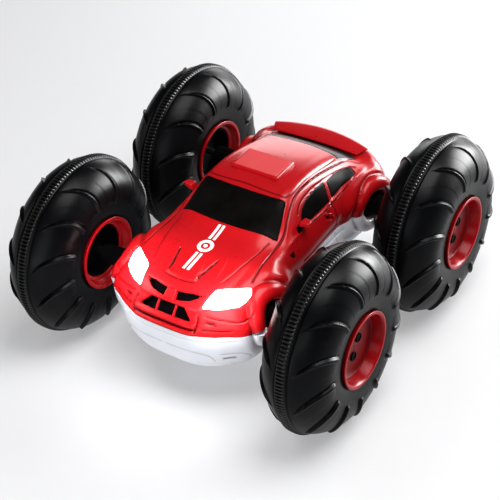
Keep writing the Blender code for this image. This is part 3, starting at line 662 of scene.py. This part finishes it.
def screw(radius, height):
    """A pan-head screw with a cross recess, its head facing +X."""
    segments = 24
    profile = [(0, radius), (height * .45, radius), (height * .8, radius * .8), (height, radius * .45)]
    verts = [(x, y, z) for x, r in profile for y, z in circle(r, segments)]
    # the cross sinks into the top
    arm, half = radius * .42, radius * .1
    cross = [(arm, half), (half, half), (half, arm), (-half, arm), (-half, half), (-arm, half), (-arm, -half),
             (-half, -half), (-half, -arm), (half, -arm), (half, -half), (arm, -half)]
    top, n = len(verts), len(cross)
    verts += [(x, y, z) for x in (height, height * .35) for y, z in cross]
    head = ring_faces(len(profile), segments)[:-1]
    recess = [tuple(top + i for i in face) for face in ring_faces(2, n) if face != tuple(range(n))]
    bm = bmesh.new()
    made = [bm.verts.new(v) for v in verts]
    for face in head + recess:
        bm.faces.new([made[i] for i in face])
    edges = []
    for loop in (made[top - segments:top], made[top:top + n]):
        edges += [bm.edges.get((a, b)) for a, b in zip(loop, loop[1:] + loop[:1])]
    bmesh.ops.triangle_fill(bm, use_beauty=True, edges=edges)
    return taken(bm)


def build_wheels(mats):
    """Tyres with their seams, dished outer rims with sunk screws, and inner rims with a recess. The dish
    floor's darker red and the black lining of the screw holes and of the inner recess are painted shade.
    """
    (tyre, tread, tyre_shade), (seam, teeth, seam_shade) = tyre_mesh(), seam_mesh()
    skins = [("tyre", make_mesh("tyre_skin", tyre, tread, mats["rubber"], 40, tyre_shade)),
             ("seam", make_mesh("seam_skin", seam, teeth, mats["cord"], 40, seam_shade))]
    # closed (x, radius) outlines in mm from the wheel's centre, +X facing out
    flange = [(23.8, 25.3), (23.6, 25.7), (22.7, 25.7), (22.6, 24.3), (.4, 24.2), (.4, 21.8), (16.6, 20.8),
              (22.2, 22.7), (23.3, 23.2), (23.8, 24.0)]
    floor = [(.4, 21.5), (.4, 2.7), (15.9, 2.7), (15.9, 0), (16.5, 0), (16.5, 2.0), (16.2, 2.4), (16.2, 19.4),
             (16.9, 20.5)]
    # black cup round each screw, as painted shade in the screw hole
    shaded_pocket = [(15.9, 0), (15.9, 3.0), (16.7, 3.2), (17.2, 3.0), (17.2, 2.5), (16.4, 2.3), (16.4, 0)]
    barrel = [(-23.8, 25.3), (-23.6, 25.7), (-22.7, 25.7), (-22.6, 24.3), (-.4, 24.2), (-.4, 18.6),
              (-17.6, 18.6), (-18.2, 18.9), (-18.7, 19.8), (-18.9, 20.9), (-22.4, 22.8), (-23.4, 23.1),
              (-23.8, 23.7)]
    # black lining of the inner rim's recess, as painted shade
    shade_lining = [(-.4, 18.3), (-.4, 2.7), (-9.0, 2.7), (-9.0, 17.2), (-17.2, 17.4), (-17.6, 17.8), (-17.6, 18.3)]
    turned_parts = (("rim_flange", flange, "rim_red", "red_dark", "rim_outer"),
                    ("rim_floor", floor, "rim_red", "floor_red_painted_shade", None),
                    ("rim_barrel", barrel, "rim_red", "red_dark", "rim_inner"),
                    ("rim_recess_shade_lining", shade_lining, "black_plastic", "black", None))
    screw_radius, screw_height, screw_x = 1.9 * MM, .4 * MM, 16.5 * MM
    screw_spot = Vector((0, 3.2 * MM, 5.2 * MM))
    for (end, way), (label, side) in product(ENDS, SIDES):
        tag, body = f"{end}_{label}", f"wheel_{end}_{label}"
        centre = Vector((side * WHEEL_X, way * AXLE_Y, AXLE_Z))
        for kind, mesh in skins:
            put(f"{kind}_skin_{tag}", mesh, body, [f"tyre_{tag}"] if kind == "tyre" else (), centre)
        for kind, profile, slot, colour, cad in turned_parts:
            verts, faces = lathe([(side * x * MM, r * MM) for x, r in rounded(profile, .4)], 112)
            make_object(f"{kind}_{tag}", moved(verts, centre), faces, body, slot, mats[colour], 38,
                        [f"{cad}_{tag}"] if cad else ())
        screws, shaded_pockets = [], []
        turn = Matrix.Identity(3) if side > 0 else Matrix.Rotation(pi, 3, "Z")
        for spot in (centre - screw_spot, centre + screw_spot):
            verts, faces = screw(screw_radius, screw_height)
            screws.append((moved(verts, spot + Vector((side * screw_x, 0, 0)), turn), faces))
            verts, faces = lathe([(side * x * MM, r * MM) for x, r in shaded_pocket], 28)
            shaded_pockets.append((moved(verts, spot), faces))
        make_object(f"wheel_screws_{tag}", *joined(*screws), body, "steel", mats["black"], 30)
        make_object(f"screw_pockets_painted_shade_{tag}", *joined(*shaded_pockets), body, "rim_red", mats["black"], 40)


# Trim on the body


def draped(s, rings, lift, thick):
    """A thin print laid on the red body, with its top lifted by so many mm. rings is an outer outline and its
    holes, as (x, y) in tyre radii."""
    cell = .02
    bm = bmesh.new()
    edges = []
    for ring in rings:
        loop = [bm.verts.new((x, y, 0)) for x, y in ring]
        edges += [bm.edges.new((loop[k], loop[(k + 1) % len(loop)])) for k in range(len(loop))]
    bmesh.ops.triangle_fill(bm, use_beauty=True, edges=edges)
    # cut into small cells so that it can follow the body
    for facing in (Vector((1, 0, 0)), Vector((0, 1, 0))):
        values = [v.co @ facing for v in bm.verts]
        place = np.ceil(min(values) / cell) * cell
        while place < max(values):
            everything = [*bm.verts, *bm.edges, *bm.faces]
            bmesh.ops.bisect_plane(bm, geom=everything, plane_co=facing * place, plane_no=facing)
            place += cell
    if sum(f.normal.z for f in bm.faces) < 0:
        bmesh.ops.reverse_faces(bm, faces=bm.faces)
    near = s.normals[:, 2] > .1
    points, normals, push = s.points[near], s.normals[near], s.push[near]
    top, low = {}, {}
    for v in list(bm.verts):
        d = (points[:, 0] - v.co.x) ** 2 + (points[:, 1] - v.co.y) ** 2
        k = np.argpartition(d, 3)[:3]
        w = 1 / (d[k] + 1e-9)
        w /= w.sum()
        normal = (normals[k] * w[:, None]).sum(0)
        spot = (points[k] * w[:, None]).sum(0)
        slope = (v.co.x - spot[0]) * normal[0] + (v.co.y - spot[1]) * normal[1]
        height = spot[2] - slope / max(normal[2], .2) + float((push[k] * w).sum()) * MM / R
        top[v] = (v.co.x, v.co.y, height + lift * MM / R)
        low[v] = (v.co.x, v.co.y, height + (lift - thick) * MM / R)
    for v, point in top.items():
        v.co = point
    twin = {v: bm.verts.new(low[v]) for v in top}
    rim = [tuple(e.verts) for e in bm.edges if e.is_boundary]
    for f in list(bm.faces):
        bm.faces.new([twin[v] for v in reversed(f.verts)])
    for a, b in rim:
        bm.faces.new((a, b, twin[b], twin[a]))
    verts, faces = taken(bm)
    return [at(*v) for v in verts], faces


def build_stripes(s, mats):
    """Twin racing stripes with a plain ring and dot between their two runs."""
    width, gap, ring_y = .031, .011, -.922
    prints = []
    for (y0, y1), way in product(((-1.285, -1.03), (-.815, -.61)), (-1, 1)):
        x0, x1 = sorted((way * gap, way * (width + gap)))
        prints.append([[(x0, y0), (x1, y0), (x1, y1), (x0, y1)]])
    prints.append([circle(.088, 40, 0, ring_y), circle(.050, 32, 0, ring_y)])
    prints.append([circle(.024, 20, 0, ring_y)])
    parts = [draped(s, rings, lift=.07, thick=.20) for rings in prints]
    make_object("hood_stripes", *joined(*parts), "root", "white_body", mats["paint"], 40)


def build_spoiler(prefix, side, slot, paint):
    """A thin crescent wing that lies on the trunk, its ends cut off at a slant and turned down."""
    across, along = 64, 16
    low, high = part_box(f"{prefix}_spoiler")
    top = (high.z - AXLE_Z) / R + 1 if side > 0 else 1 - (low.z - AXLE_Z) / R
    verts = []
    for u in np.linspace(-1, 1, across + 1):
        front, rear = 1.218 + .004 * (1 - u * u), 1.368 + .110 * (1 - u * u)
        crown = top - .014 - .022 * u * u
        for c, h in circle(1, along):
            t = .5 + .5 * c
            thick = (.006 + .007 * t) * (1 - .3 * u ** 8)
            rise = thick * np.sign(h) * abs(h) ** .5 - .012 * (1 - t) ** 2
            verts.append(at((.545 + .060 * t) * u, front + (rear - front) * t, crown + rise, side))
    faces = ring_faces(across + 1, along)
    make_object(f"{prefix}_wing", verts, faces, "root", slot, paint, 45, [f"{prefix}_spoiler"])
    seat = mirrored([(.50, 1.250), (.53, 1.33), (.40, 1.39), (.20, 1.42)])
    verts, faces = prism(seat, top - .075, top - .030)
    make_object(f"{prefix}_wing_seat", [at(*v, side) for v in verts], faces, "root", slot, paint, 40)


def build_mirror(label, x_side, mats):
    """A wedge mirror on a black triangular foot, each a box of eight corners with soft edges."""
    shell = [(.668, -.205, 1.452), (.795, -.185, 1.482), (.805, -.180, 1.535), (.69, -.20, 1.525),
             (.668, -.095, 1.452), (.770, -.100, 1.478), (.782, -.100, 1.52), (.685, -.095, 1.522)]
    foot = [(.630, -.225, 1.46), (.690, -.225, 1.455), (.690, -.10, 1.455), (.630, -.09, 1.47),
            (.64, -.235, 1.405), (.695, -.235, 1.395), (.695, -.15, 1.40), (.64, -.14, 1.41)]
    for part, corners, slot, paint, cad, edge, steps in (
            ("shell", shell, "red_body", "red", [f"mirror_{label}"], 1.0 * MM, 3),
            ("foot", foot, "black_plastic", "black", (), .5 * MM, 2)):
        verts = [at(x_side * x, y, z) for x, y, z in corners]
        name = f"mirror_{part}_{label}"
        made = make_object(name, verts, ring_faces(2, 4), "root", slot, mats[paint], 50, cad)
        bevel = made.modifiers.new("bevel", "BEVEL")
        bevel.width, bevel.segments = edge, steps


def build_hatch(name, cad, side, slot, paint, plate_paint):
    """A raised slab with steep sides and a crisp bevel, and a plate let into its top. On the red car the
    plate is a lighter red, as a painted reflection.
    """
    low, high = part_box(cad)
    z0, z1 = (low.z, high.z) if side > 0 else (-high.z, -low.z)
    centre, half = (low + high) / 2, (high - low) / 2
    corners = [(-half.x, -half.y), (half.x, -half.y), (half.x, half.y), (-half.x, half.y)]
    outline = rounded(corners, 1.0 * MM, 4)

    def stack(label, rings, colour, replaced):
        """A slab from (inset, depth below the top) rings in mm."""
        verts = [(centre.x + x * (1 - inset * MM / half.x), centre.y + y * (1 - inset * MM / half.y),
                  side * (z1 - depth * MM)) for inset, depth in rings for x, y in outline]
        faces = ring_faces(len(rings), len(outline))
        make_object(label, verts, faces, "root", slot, colour, 20, replaced)

    sides = [(0, (z1 - z0) / MM), (0, 1.0), (.15, .75), (.75, .22), (1.0, .15), (1.5, .15)]
    stack(name, sides, paint, [cad])
    stack(f"{name}_plate", [(1.25, .5), (1.25, .12), (1.4, 0)], plate_paint, ())


def build_front(s, mats):
    """Grille backing, bars, badge plate and lamp bulbs of the red car. It clears the surface's grooves."""
    nose = s.points[:, 1] < NOSE_END
    s.push = s.shade = np.zeros(len(s.points))
    backing = s.signed([(-.40, 1.10), (.40, 1.10), (.40, 1.34), (-.40, 1.34)], [0, 2], nose)
    verts, faces, _ = s.piece([], [backing], drop=3.0, wall=1.0 * MM)
    make_object("grille_backing", verts, faces, "root", "black_plastic", mats["black"], 50, ["grille_insert"])
    bars = []
    half, front, back = .010, -1.625, -1.59
    for x in (-.105, .105):
        outline = [(x - half, back), (x + half, back), (x + half, front), (x - half, front)]
        verts, faces = prism(rounded(outline, .004), 1.112, 1.232)
        # the bars lean with the nose
        bars.append(([at(x, y - .9 * (1.225 - z) + .012, z) for x, y, z in verts], faces))
    make_object("grille_bars", *joined(*bars), "root", "red_body", mats["red"], 40)
    badge = s.signed(rounded(BADGE, .008), [0, 2], nose)
    s.push = 1.3 - .6 * (1 - np.clip(-badge[0] / .7, 0, 1)) ** 2
    verts, faces, _ = s.piece([], [badge], wall=2.6 * MM)
    make_object("badge_plate", verts, faces, "root", "red_body", mats["red"], 50)
    bulb = [(-3.2, 0), (-3.2, 2.8), (-2.4, 2.8), (-2.4, 2.3), (1.4, 2.3), (2.3, 2.05), (3.0, 1.5), (3.5, .7),
            (3.6, 0)]
    for label, side in SIDES:
        cad = f"headlight_led_{label}"
        low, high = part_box(cad)
        turn = Matrix.Rotation(radians(-90 + side * 20), 3, "Z") @ Matrix.Rotation(radians(-25), 3, "Y")
        verts, faces = lathe([(x * MM, r * MM) for x, r in bulb], 32)
        verts = moved(verts, (low + high) / 2, turn)
        make_object(f"lamp_bulb_{label}", verts, faces, "root", "led", mats["led"], 40, [cad])


def build_handles(mats):
    """A looped door handle over its cup, with a key cap below it."""
    path = [(.708, .258, 1.322), (.720, .268, 1.330), (.734, .300, 1.322), (.745, .340, 1.296),
            (.745, .365, 1.264), (.730, .374, 1.240)]
    key_cap = [(-1, 0), (-1, 1.1), (.35, 1.1), (.7, .8), (.7, .45), (.3, .45), (.3, 0)]
    ring, thickness = 12, .0125
    fine = through([np.array(p) for p in path], [5] * 5)
    for label, side in SIDES:
        verts = []
        for i, (x, y, z) in enumerate(fine):
            share = i / (len(fine) - 1)
            r = thickness * (.5 + .5 * sin(pi * share) ** .5 if 0 < share < 1 else .4)
            verts += [at(side * (x + c * .8), y, z + h * 1.2) for c, h in circle(r, ring)]
        cap, cap_faces = lathe([(side * x * MM, r * MM) for x, r in key_cap], 20)
        cap = moved(cap, at(side * .742, .325, 1.225))
        verts, faces = joined((verts, ring_faces(len(fine), ring)), (cap, cap_faces))
        make_object(f"door_handle_{label}", verts, faces, "root", "red_body", mats["red"], 50)


def build_drive(mats):
    """Gearbox housings with their axle tubes, seen between the body and the wheels."""
    # (x, radius) in mm from the car's middle, out to the end of the tube and back into its bore
    profile = [(35, 0), (35, 17.0), (43.6, 17.0), (44.3, 16.3), (44.5, 15.0), (44.1, 13.6), (42.4, 12.8),
               (42.0, 10.2), (43.2, 9.2), (46, 8.6), (58, 7.3), (58.5, 8.0), (61.5, 8.0), (62, 7.0),
               (78.0, 6.2), (78.6, 5.6), (78.6, 2.7), (70, 2.7), (70, 0)]
    for label, side in SIDES:
        verts, faces = lathe([(side * x * MM, r * MM) for x, r in rounded(profile, .5, closed=False)], 64)
        housings = [(moved(verts, (0, way * AXLE_Y, AXLE_Z)), faces) for _, way in ENDS]
        make_object(f"axle_housing_{label}", *joined(*housings), "root", "black_plastic", mats["black"], 40)


def dress_cad_nodes(mats):
    """Materials for the CAD nodes, whether or not a piece replaces them."""
    slots = {"red_body": "red", "white_body": "white", "window_black": "black_glass",
             "window_grey": "grey_glass", "lens_clear": "lens", "led": "led", "tyre": "rubber",
             "rim_red": "red_dark", "black_plastic": "black", "gear_plastic": "nylon", "steel": "steel",
             "circuit_board": "board", "battery_wrap": "wrap"}
    for part in frame["record"]["subparts"]:
        obj = frame["nodes"][part["node"]]
        obj.data.materials.clear()
        obj.data.materials.append(mats[slots[part["material_slot"]]])


def bowed_outline(corners, sags, counts):
    """A closed outline whose sides are shallow arcs, each bowed sideways by its sag in the middle."""
    made = []
    corners = np.array(corners)
    for start, end, sag, count in zip(corners, np.roll(corners, -1, axis=0), sags, counts):
        sideways = np.array([end[1] - start[1], start[0] - end[0]]) / np.linalg.norm(end - start)
        made += [tuple(start + (end - start) * t + sideways * sag * 4 * t * (1 - t))
                 for t in np.arange(count) / count]
    return made


def mirrored(points):
    """A right-hand run of (x, y) points completed with its mirror image on the left."""
    return [*points, *[(-x, y) for x, y in reversed(points)]]


def shape_panels(s):
    """Joints, mouldings and flares that both cars share. Returns each vertex's distance from its axle."""
    # each groove has its line, depth and width in mm, fade at its ends, and the strength of its painted shade
    # front edge of the roof, then its side joint
    s.groove([(0, -.150, 1.755), (.25, -.147, 1.745), (.43, -.128, 1.725), (.482, -.095, 1.712),
              (.496, -.01, 1.713), (.485, .20, 1.72), (.481, .47, 1.684), (.475, .75, 1.626),
              (.468, .87, 1.60)], .35, .60, 0, .75)
    # rail from the tail over the door to the hood
    s.groove([(.536, 1.19, 1.462), (.527, .96, 1.542), (.514, .69, 1.603), (.512, .29, 1.684),
              (.520, .036, 1.690), (.547, -.123, 1.643), (.592, -.286, 1.543), (.626, -.43, 1.448),
              (.626, -.637, 1.405), (.637, -.85, 1.396), (.668, -1.08, 1.355)], .70, .65, 0, .95)
    # frame of the side glass
    s.groove([(.60, -.115, 1.53), (.594, -.072, 1.571), (.575, .009, 1.605), (.568, .121, 1.619),
              (.562, .29, 1.618), (.563, .489, 1.59), (.565, .605, 1.572), (.578, .835, 1.524),
              (.603, .96, 1.487), (.64, 1.01, 1.45)], .35, .62, 0, .7)
    # hood joint
    s.groove([(.548, -.56, 1.443), (.538, -.62, 1.441), (.527, -.722, 1.426), (.50, -.911, 1.418),
              (.467, -1.084, 1.395), (.424, -1.251, 1.369)], .35, .42, 0, .7)
    # rear door joint, sill line and tail lip
    s.groove([(.655, .405, 1.41), (.70, .428, 1.34), (.727, .446, 1.27), (.742, .44, 1.12), (.718, .43, 1.0)],
             .45, .45, 0, .9)
    s.groove([(.73, -.28, 1.075), (.735, 0, 1.07), (.73, .3, 1.065), (.735, .62, 1.065)], .6, .6, .06, .8)
    s.groove([(.0, 1.50, 1.34), (.3, 1.49, 1.34), (.52, 1.455, 1.34), (.66, 1.39, 1.335)], .3, .5, 0, .5)
    # swage line down the flank, and the belt moulding under the glass with a joint below it
    s.groove([(.70, -.55, 1.375), (.69, -.15, 1.385), (.69, .35, 1.37), (.70, .85, 1.40), (.70, 1.15, 1.39)],
             -.35, 1.6, .1)
    belt = [(.66, -.10, 1.402), (.672, -.02, 1.388), (.672, .20, 1.374), (.672, .40, 1.370),
            (.672, .68, 1.384), (.668, .93, 1.414)]
    s.groove(belt, -.45, .7, .04)
    s.groove([(x + .012, y, z - .022) for x, y, z in belt], .4, .45, .04, .75)
    # flares round the arches: a fat roll at the lip, with a soft crease at its foot darkened with painted
    # shade
    reach = np.hypot(np.abs(s.points[:, 1]) - AXLE_Y / R, s.points[:, 2] - 1)
    flank = smoothstep(.58, .68, s.folded[:, 0])
    roll_at, roll_half, roll_height, foot_at = .247, .082, 4.4, .345
    s.push += roll_height * flank * np.sqrt(np.clip(1 - ((reach - roll_at) / roll_half) ** 2, 0, 1))
    s.dent(.4, np.exp(-((reach - foot_at) / .018) ** 2) * flank, .35)
    # cup behind the door handle, sunk and darkened with painted shade
    cup = np.exp(-(np.hypot((s.points[:, 1] - .312) / .050, (s.points[:, 2] - 1.283) / .036)) ** 4)
    s.dent(1.0, cup * (s.folded[:, 0] > .6), .85)
    return reach


def shape_red_front(s):
    """Hood creases, scoop and the bumper of the red car. Slits, grooves and the bumper trench are darkened
    with painted shade.
    """
    d, along = s.distance([(.243, -1.0, 1.43), (.208, -1.15, 1.405), (.172, -1.33, 1.372)])
    slit = np.exp(-(d / (.35 + .55 * along)) ** 2) * smoothstep(0, .2, along) * smoothstep(0, .04, 1 - along)
    s.dent(1.2, slit, 1)
    x, y, z = s.folded[:, 0], s.points[:, 1], s.points[:, 2]
    lip = -1.40 + .9 * x ** 2
    between = 1 - smoothstep(-.012, .004, x - (.172 - .20 * (y + 1.33)))
    s.push += .9 * between * smoothstep(-1.0, -1.34, y) * smoothstep(0, .010, y - lip)
    s.groove([(0, -1.375, 1.369), (.10, -1.368, 1.371), (.17, -1.352, 1.37)], -.45, .8)
    s.groove([(0, -1.412, 1.355), (.10, -1.405, 1.356), (.19, -1.378, 1.364)], .35, .55, .05, .75)
    s.groove([(.29, -.956, 1.436), (.321, -1.07, 1.414), (.335, -1.276, 1.377)], -.25, .9, .2)
    # bumper: two rolls with a trench between them, and a brow over the lower opening
    middle = (1 - smoothstep(.34, .40, x)) * (y < -1.45)
    for height, at_z, width in ((1.1, 1.090, .017), (1.2, 1.022, .020), (.8, 1.236, .014)):
        s.push += height * middle * np.exp(-((z - at_z) / width) ** 2)
    s.dent(.9, middle * np.exp(-((z - 1.056) / .010) ** 2), .9)
    # corner contours and intakes
    s.groove([(.36, -1.63, 1.20), (.385, -1.655, 1.14), (.375, -1.685, 1.07),
              (.36, -1.70, 1.02)], .8, .6, .05, .9)
    s.groove([(.40, -1.61, 1.195), (.52, -1.57, 1.165), (.64, -1.51, 1.14), (.753, -1.44, 1.12),
              (.80, -1.36, 1.14), (.80, -1.29, 1.18)], .55, .6, .08, .75)
    s.groove([(.41, -1.655, 1.06), (.56, -1.60, 1.055), (.72, -1.50, 1.05)], .55, .6, .1, .7)
    s.groove([(.44, -1.615, 1.125), (.50, -1.60, 1.115), (.56, -1.575, 1.108)], .9, 1.0, .3, .9)


def shape_white_front(s):
    """Bumper lines, fog-lamp slots and hood creases of the white car. Their grooves are darkened with painted
    shade.
    """
    s.groove([(0, -1.75, 1.215), (.2, -1.74, 1.215), (.40, -1.70, 1.23), (.50, -1.645, 1.27),
              (.53, -1.60, 1.35)], .30, .45, .05, .35)
    s.groove([(.60, -1.59, 1.30), (.66, -1.55, 1.30), (.72, -1.49, 1.295)], .9, .8, .15, .6)
    s.groove([(.56, -1.60, 1.24), (.66, -1.56, 1.235), (.77, -1.45, 1.23), (.80, -1.38, 1.30),
              (.77, -1.38, 1.38)], .35, .5, .05, .35)
    s.groove([(0, -1.755, 1.06), (.3, -1.74, 1.06), (.55, -1.65, 1.06), (.74, -1.51, 1.06)], .15, .5, 0, .2)
    s.groove([(.237, -1.0, 1.43), (.212, -1.13, 1.44), (.172, -1.32, 1.47)], .7, .7, .2, .5)


def build_stage(mats):
    """Pale paper floor, a dim even sky and soft lights. The backdrops only show as reflections."""
    bpy.ops.mesh.primitive_plane_add(size=8, location=(0, 0, -.0002))
    floor = bpy.context.object
    floor.name = "studio_floor"
    floor.data.materials.append(mats["floor"])
    world = bpy.data.worlds.new("studio")
    bpy.context.scene.world = world
    world.use_nodes = True
    background = world.node_tree.nodes["Background"]
    background.inputs["Color"].default_value = (.95, .97, 1, 1)
    background.inputs["Strength"].default_value = .08

    def softbox(name, spot, size, power, aim=(0, 0, .06), diffuse=True, glossy=True):
        light = bpy.data.lights.new(name, "AREA")
        light.shape = "RECTANGLE"
        light.size, light.size_y = size
        light.energy = power
        obj = bpy.data.objects.new(name, light)
        bpy.context.scene.collection.objects.link(obj)
        obj.location = spot
        obj.rotation_euler = (Vector(aim) - Vector(spot)).to_track_quat("-Z", "Y").to_euler()
        obj.visible_diffuse, obj.visible_glossy = diffuse, glossy

    softbox("overhead", (.36, .10, 1.05), (.7, .8), 8.2)
    softbox("rear_left", (.75, 1.05, .30), (.9, .42), 6.0, (0, 0, .10))
    softbox("backdrop_left", (.60, 1.12, .40), (.90, .74), 30.0, (0, 0, .08), diffuse=False)
    softbox("backdrop_right", (-.45, 1.30, .28), (1.2, .44), 5.0, (0, 0, .08), diffuse=False)
    softbox("front_fill", (.45, -1.1, .60), (.9, .5), 2.0)
    softbox("right_fill", (-1.1, -.4, .5), (.6, .6), 1.2)
    softbox("low_front", (.02, -.40, .10), (.25, .07), .16, (.01, -.10, .045))
    softbox("floor_wash", (-1.0, 1.3, 1.3), (1.2, 1.2), 7.0, (-1.0, 1.3, 0), glossy=False)
    for label, side in SIDES:
        spot, lamp = at(side * .66, -1.72, 1.62), at(side * .50, -1.38, 1.28)
        softbox(f"lamp_glow_{label}", spot, (.030, .030), .040, lamp, glossy=False)


def build_camera():
    """A long lens at the viewing angle of the product picture."""
    azimuth, elevation, roll = radians(35.88), radians(37.77), radians(-4.22)
    target, distance = Vector((.0967, -.2890, 1.0)) * R, 14.668 * R
    back = Vector((sin(azimuth) * cos(elevation), -cos(azimuth) * cos(elevation), sin(elevation)))
    right = Vector((cos(azimuth), sin(azimuth), 0))
    up = back.cross(right)
    x_axis = right * cos(roll) + up * sin(roll)
    y_axis = up * cos(roll) - right * sin(roll)
    camera = bpy.data.objects.new("camera", bpy.data.cameras.new("camera"))
    bpy.context.scene.collection.objects.link(camera)
    camera.data.lens, camera.data.sensor_width = 98.96, 36
    camera.data.clip_start, camera.data.clip_end = .05, 50
    turn = Matrix((x_axis, y_axis, back)).transposed()
    camera.matrix_world = Matrix.Translation(target + back * distance) @ turn.to_4x4()
    bpy.context.scene.camera = camera


def main():
    mats = build_materials()
    dress_cad_nodes(mats)
    upper = build_body("upper", 1, RED_ROWS, RED_STEPS, mats["red"], "red_body", mats)
    build_body("lower", -1, WHITE_ROWS, WHITE_STEPS, mats["white"], "white_body", mats)
    build_stripes(upper, mats)
    build_spoiler("upper", 1, "red_body", mats["red"])
    build_spoiler("lower", -1, "white_body", mats["white"])
    build_hatch("roof_hatch_cover", "roof_hatch", 1, "red_body", mats["red"], mats["red_hatch_reflection"])
    build_hatch("battery_door_cover", "battery_door", -1, "white_body", mats["white"], mats["white"])
    build_front(upper, mats)
    build_handles(mats)
    for label, side in SIDES:
        build_mirror(label, side, mats)
    build_drive(mats)
    build_wheels(mats)
    build_stage(mats)
    build_camera()
    bpy.context.scene.view_settings.view_transform = "Standard"
    bpy.context.scene.view_settings.look = "High Contrast"


main()
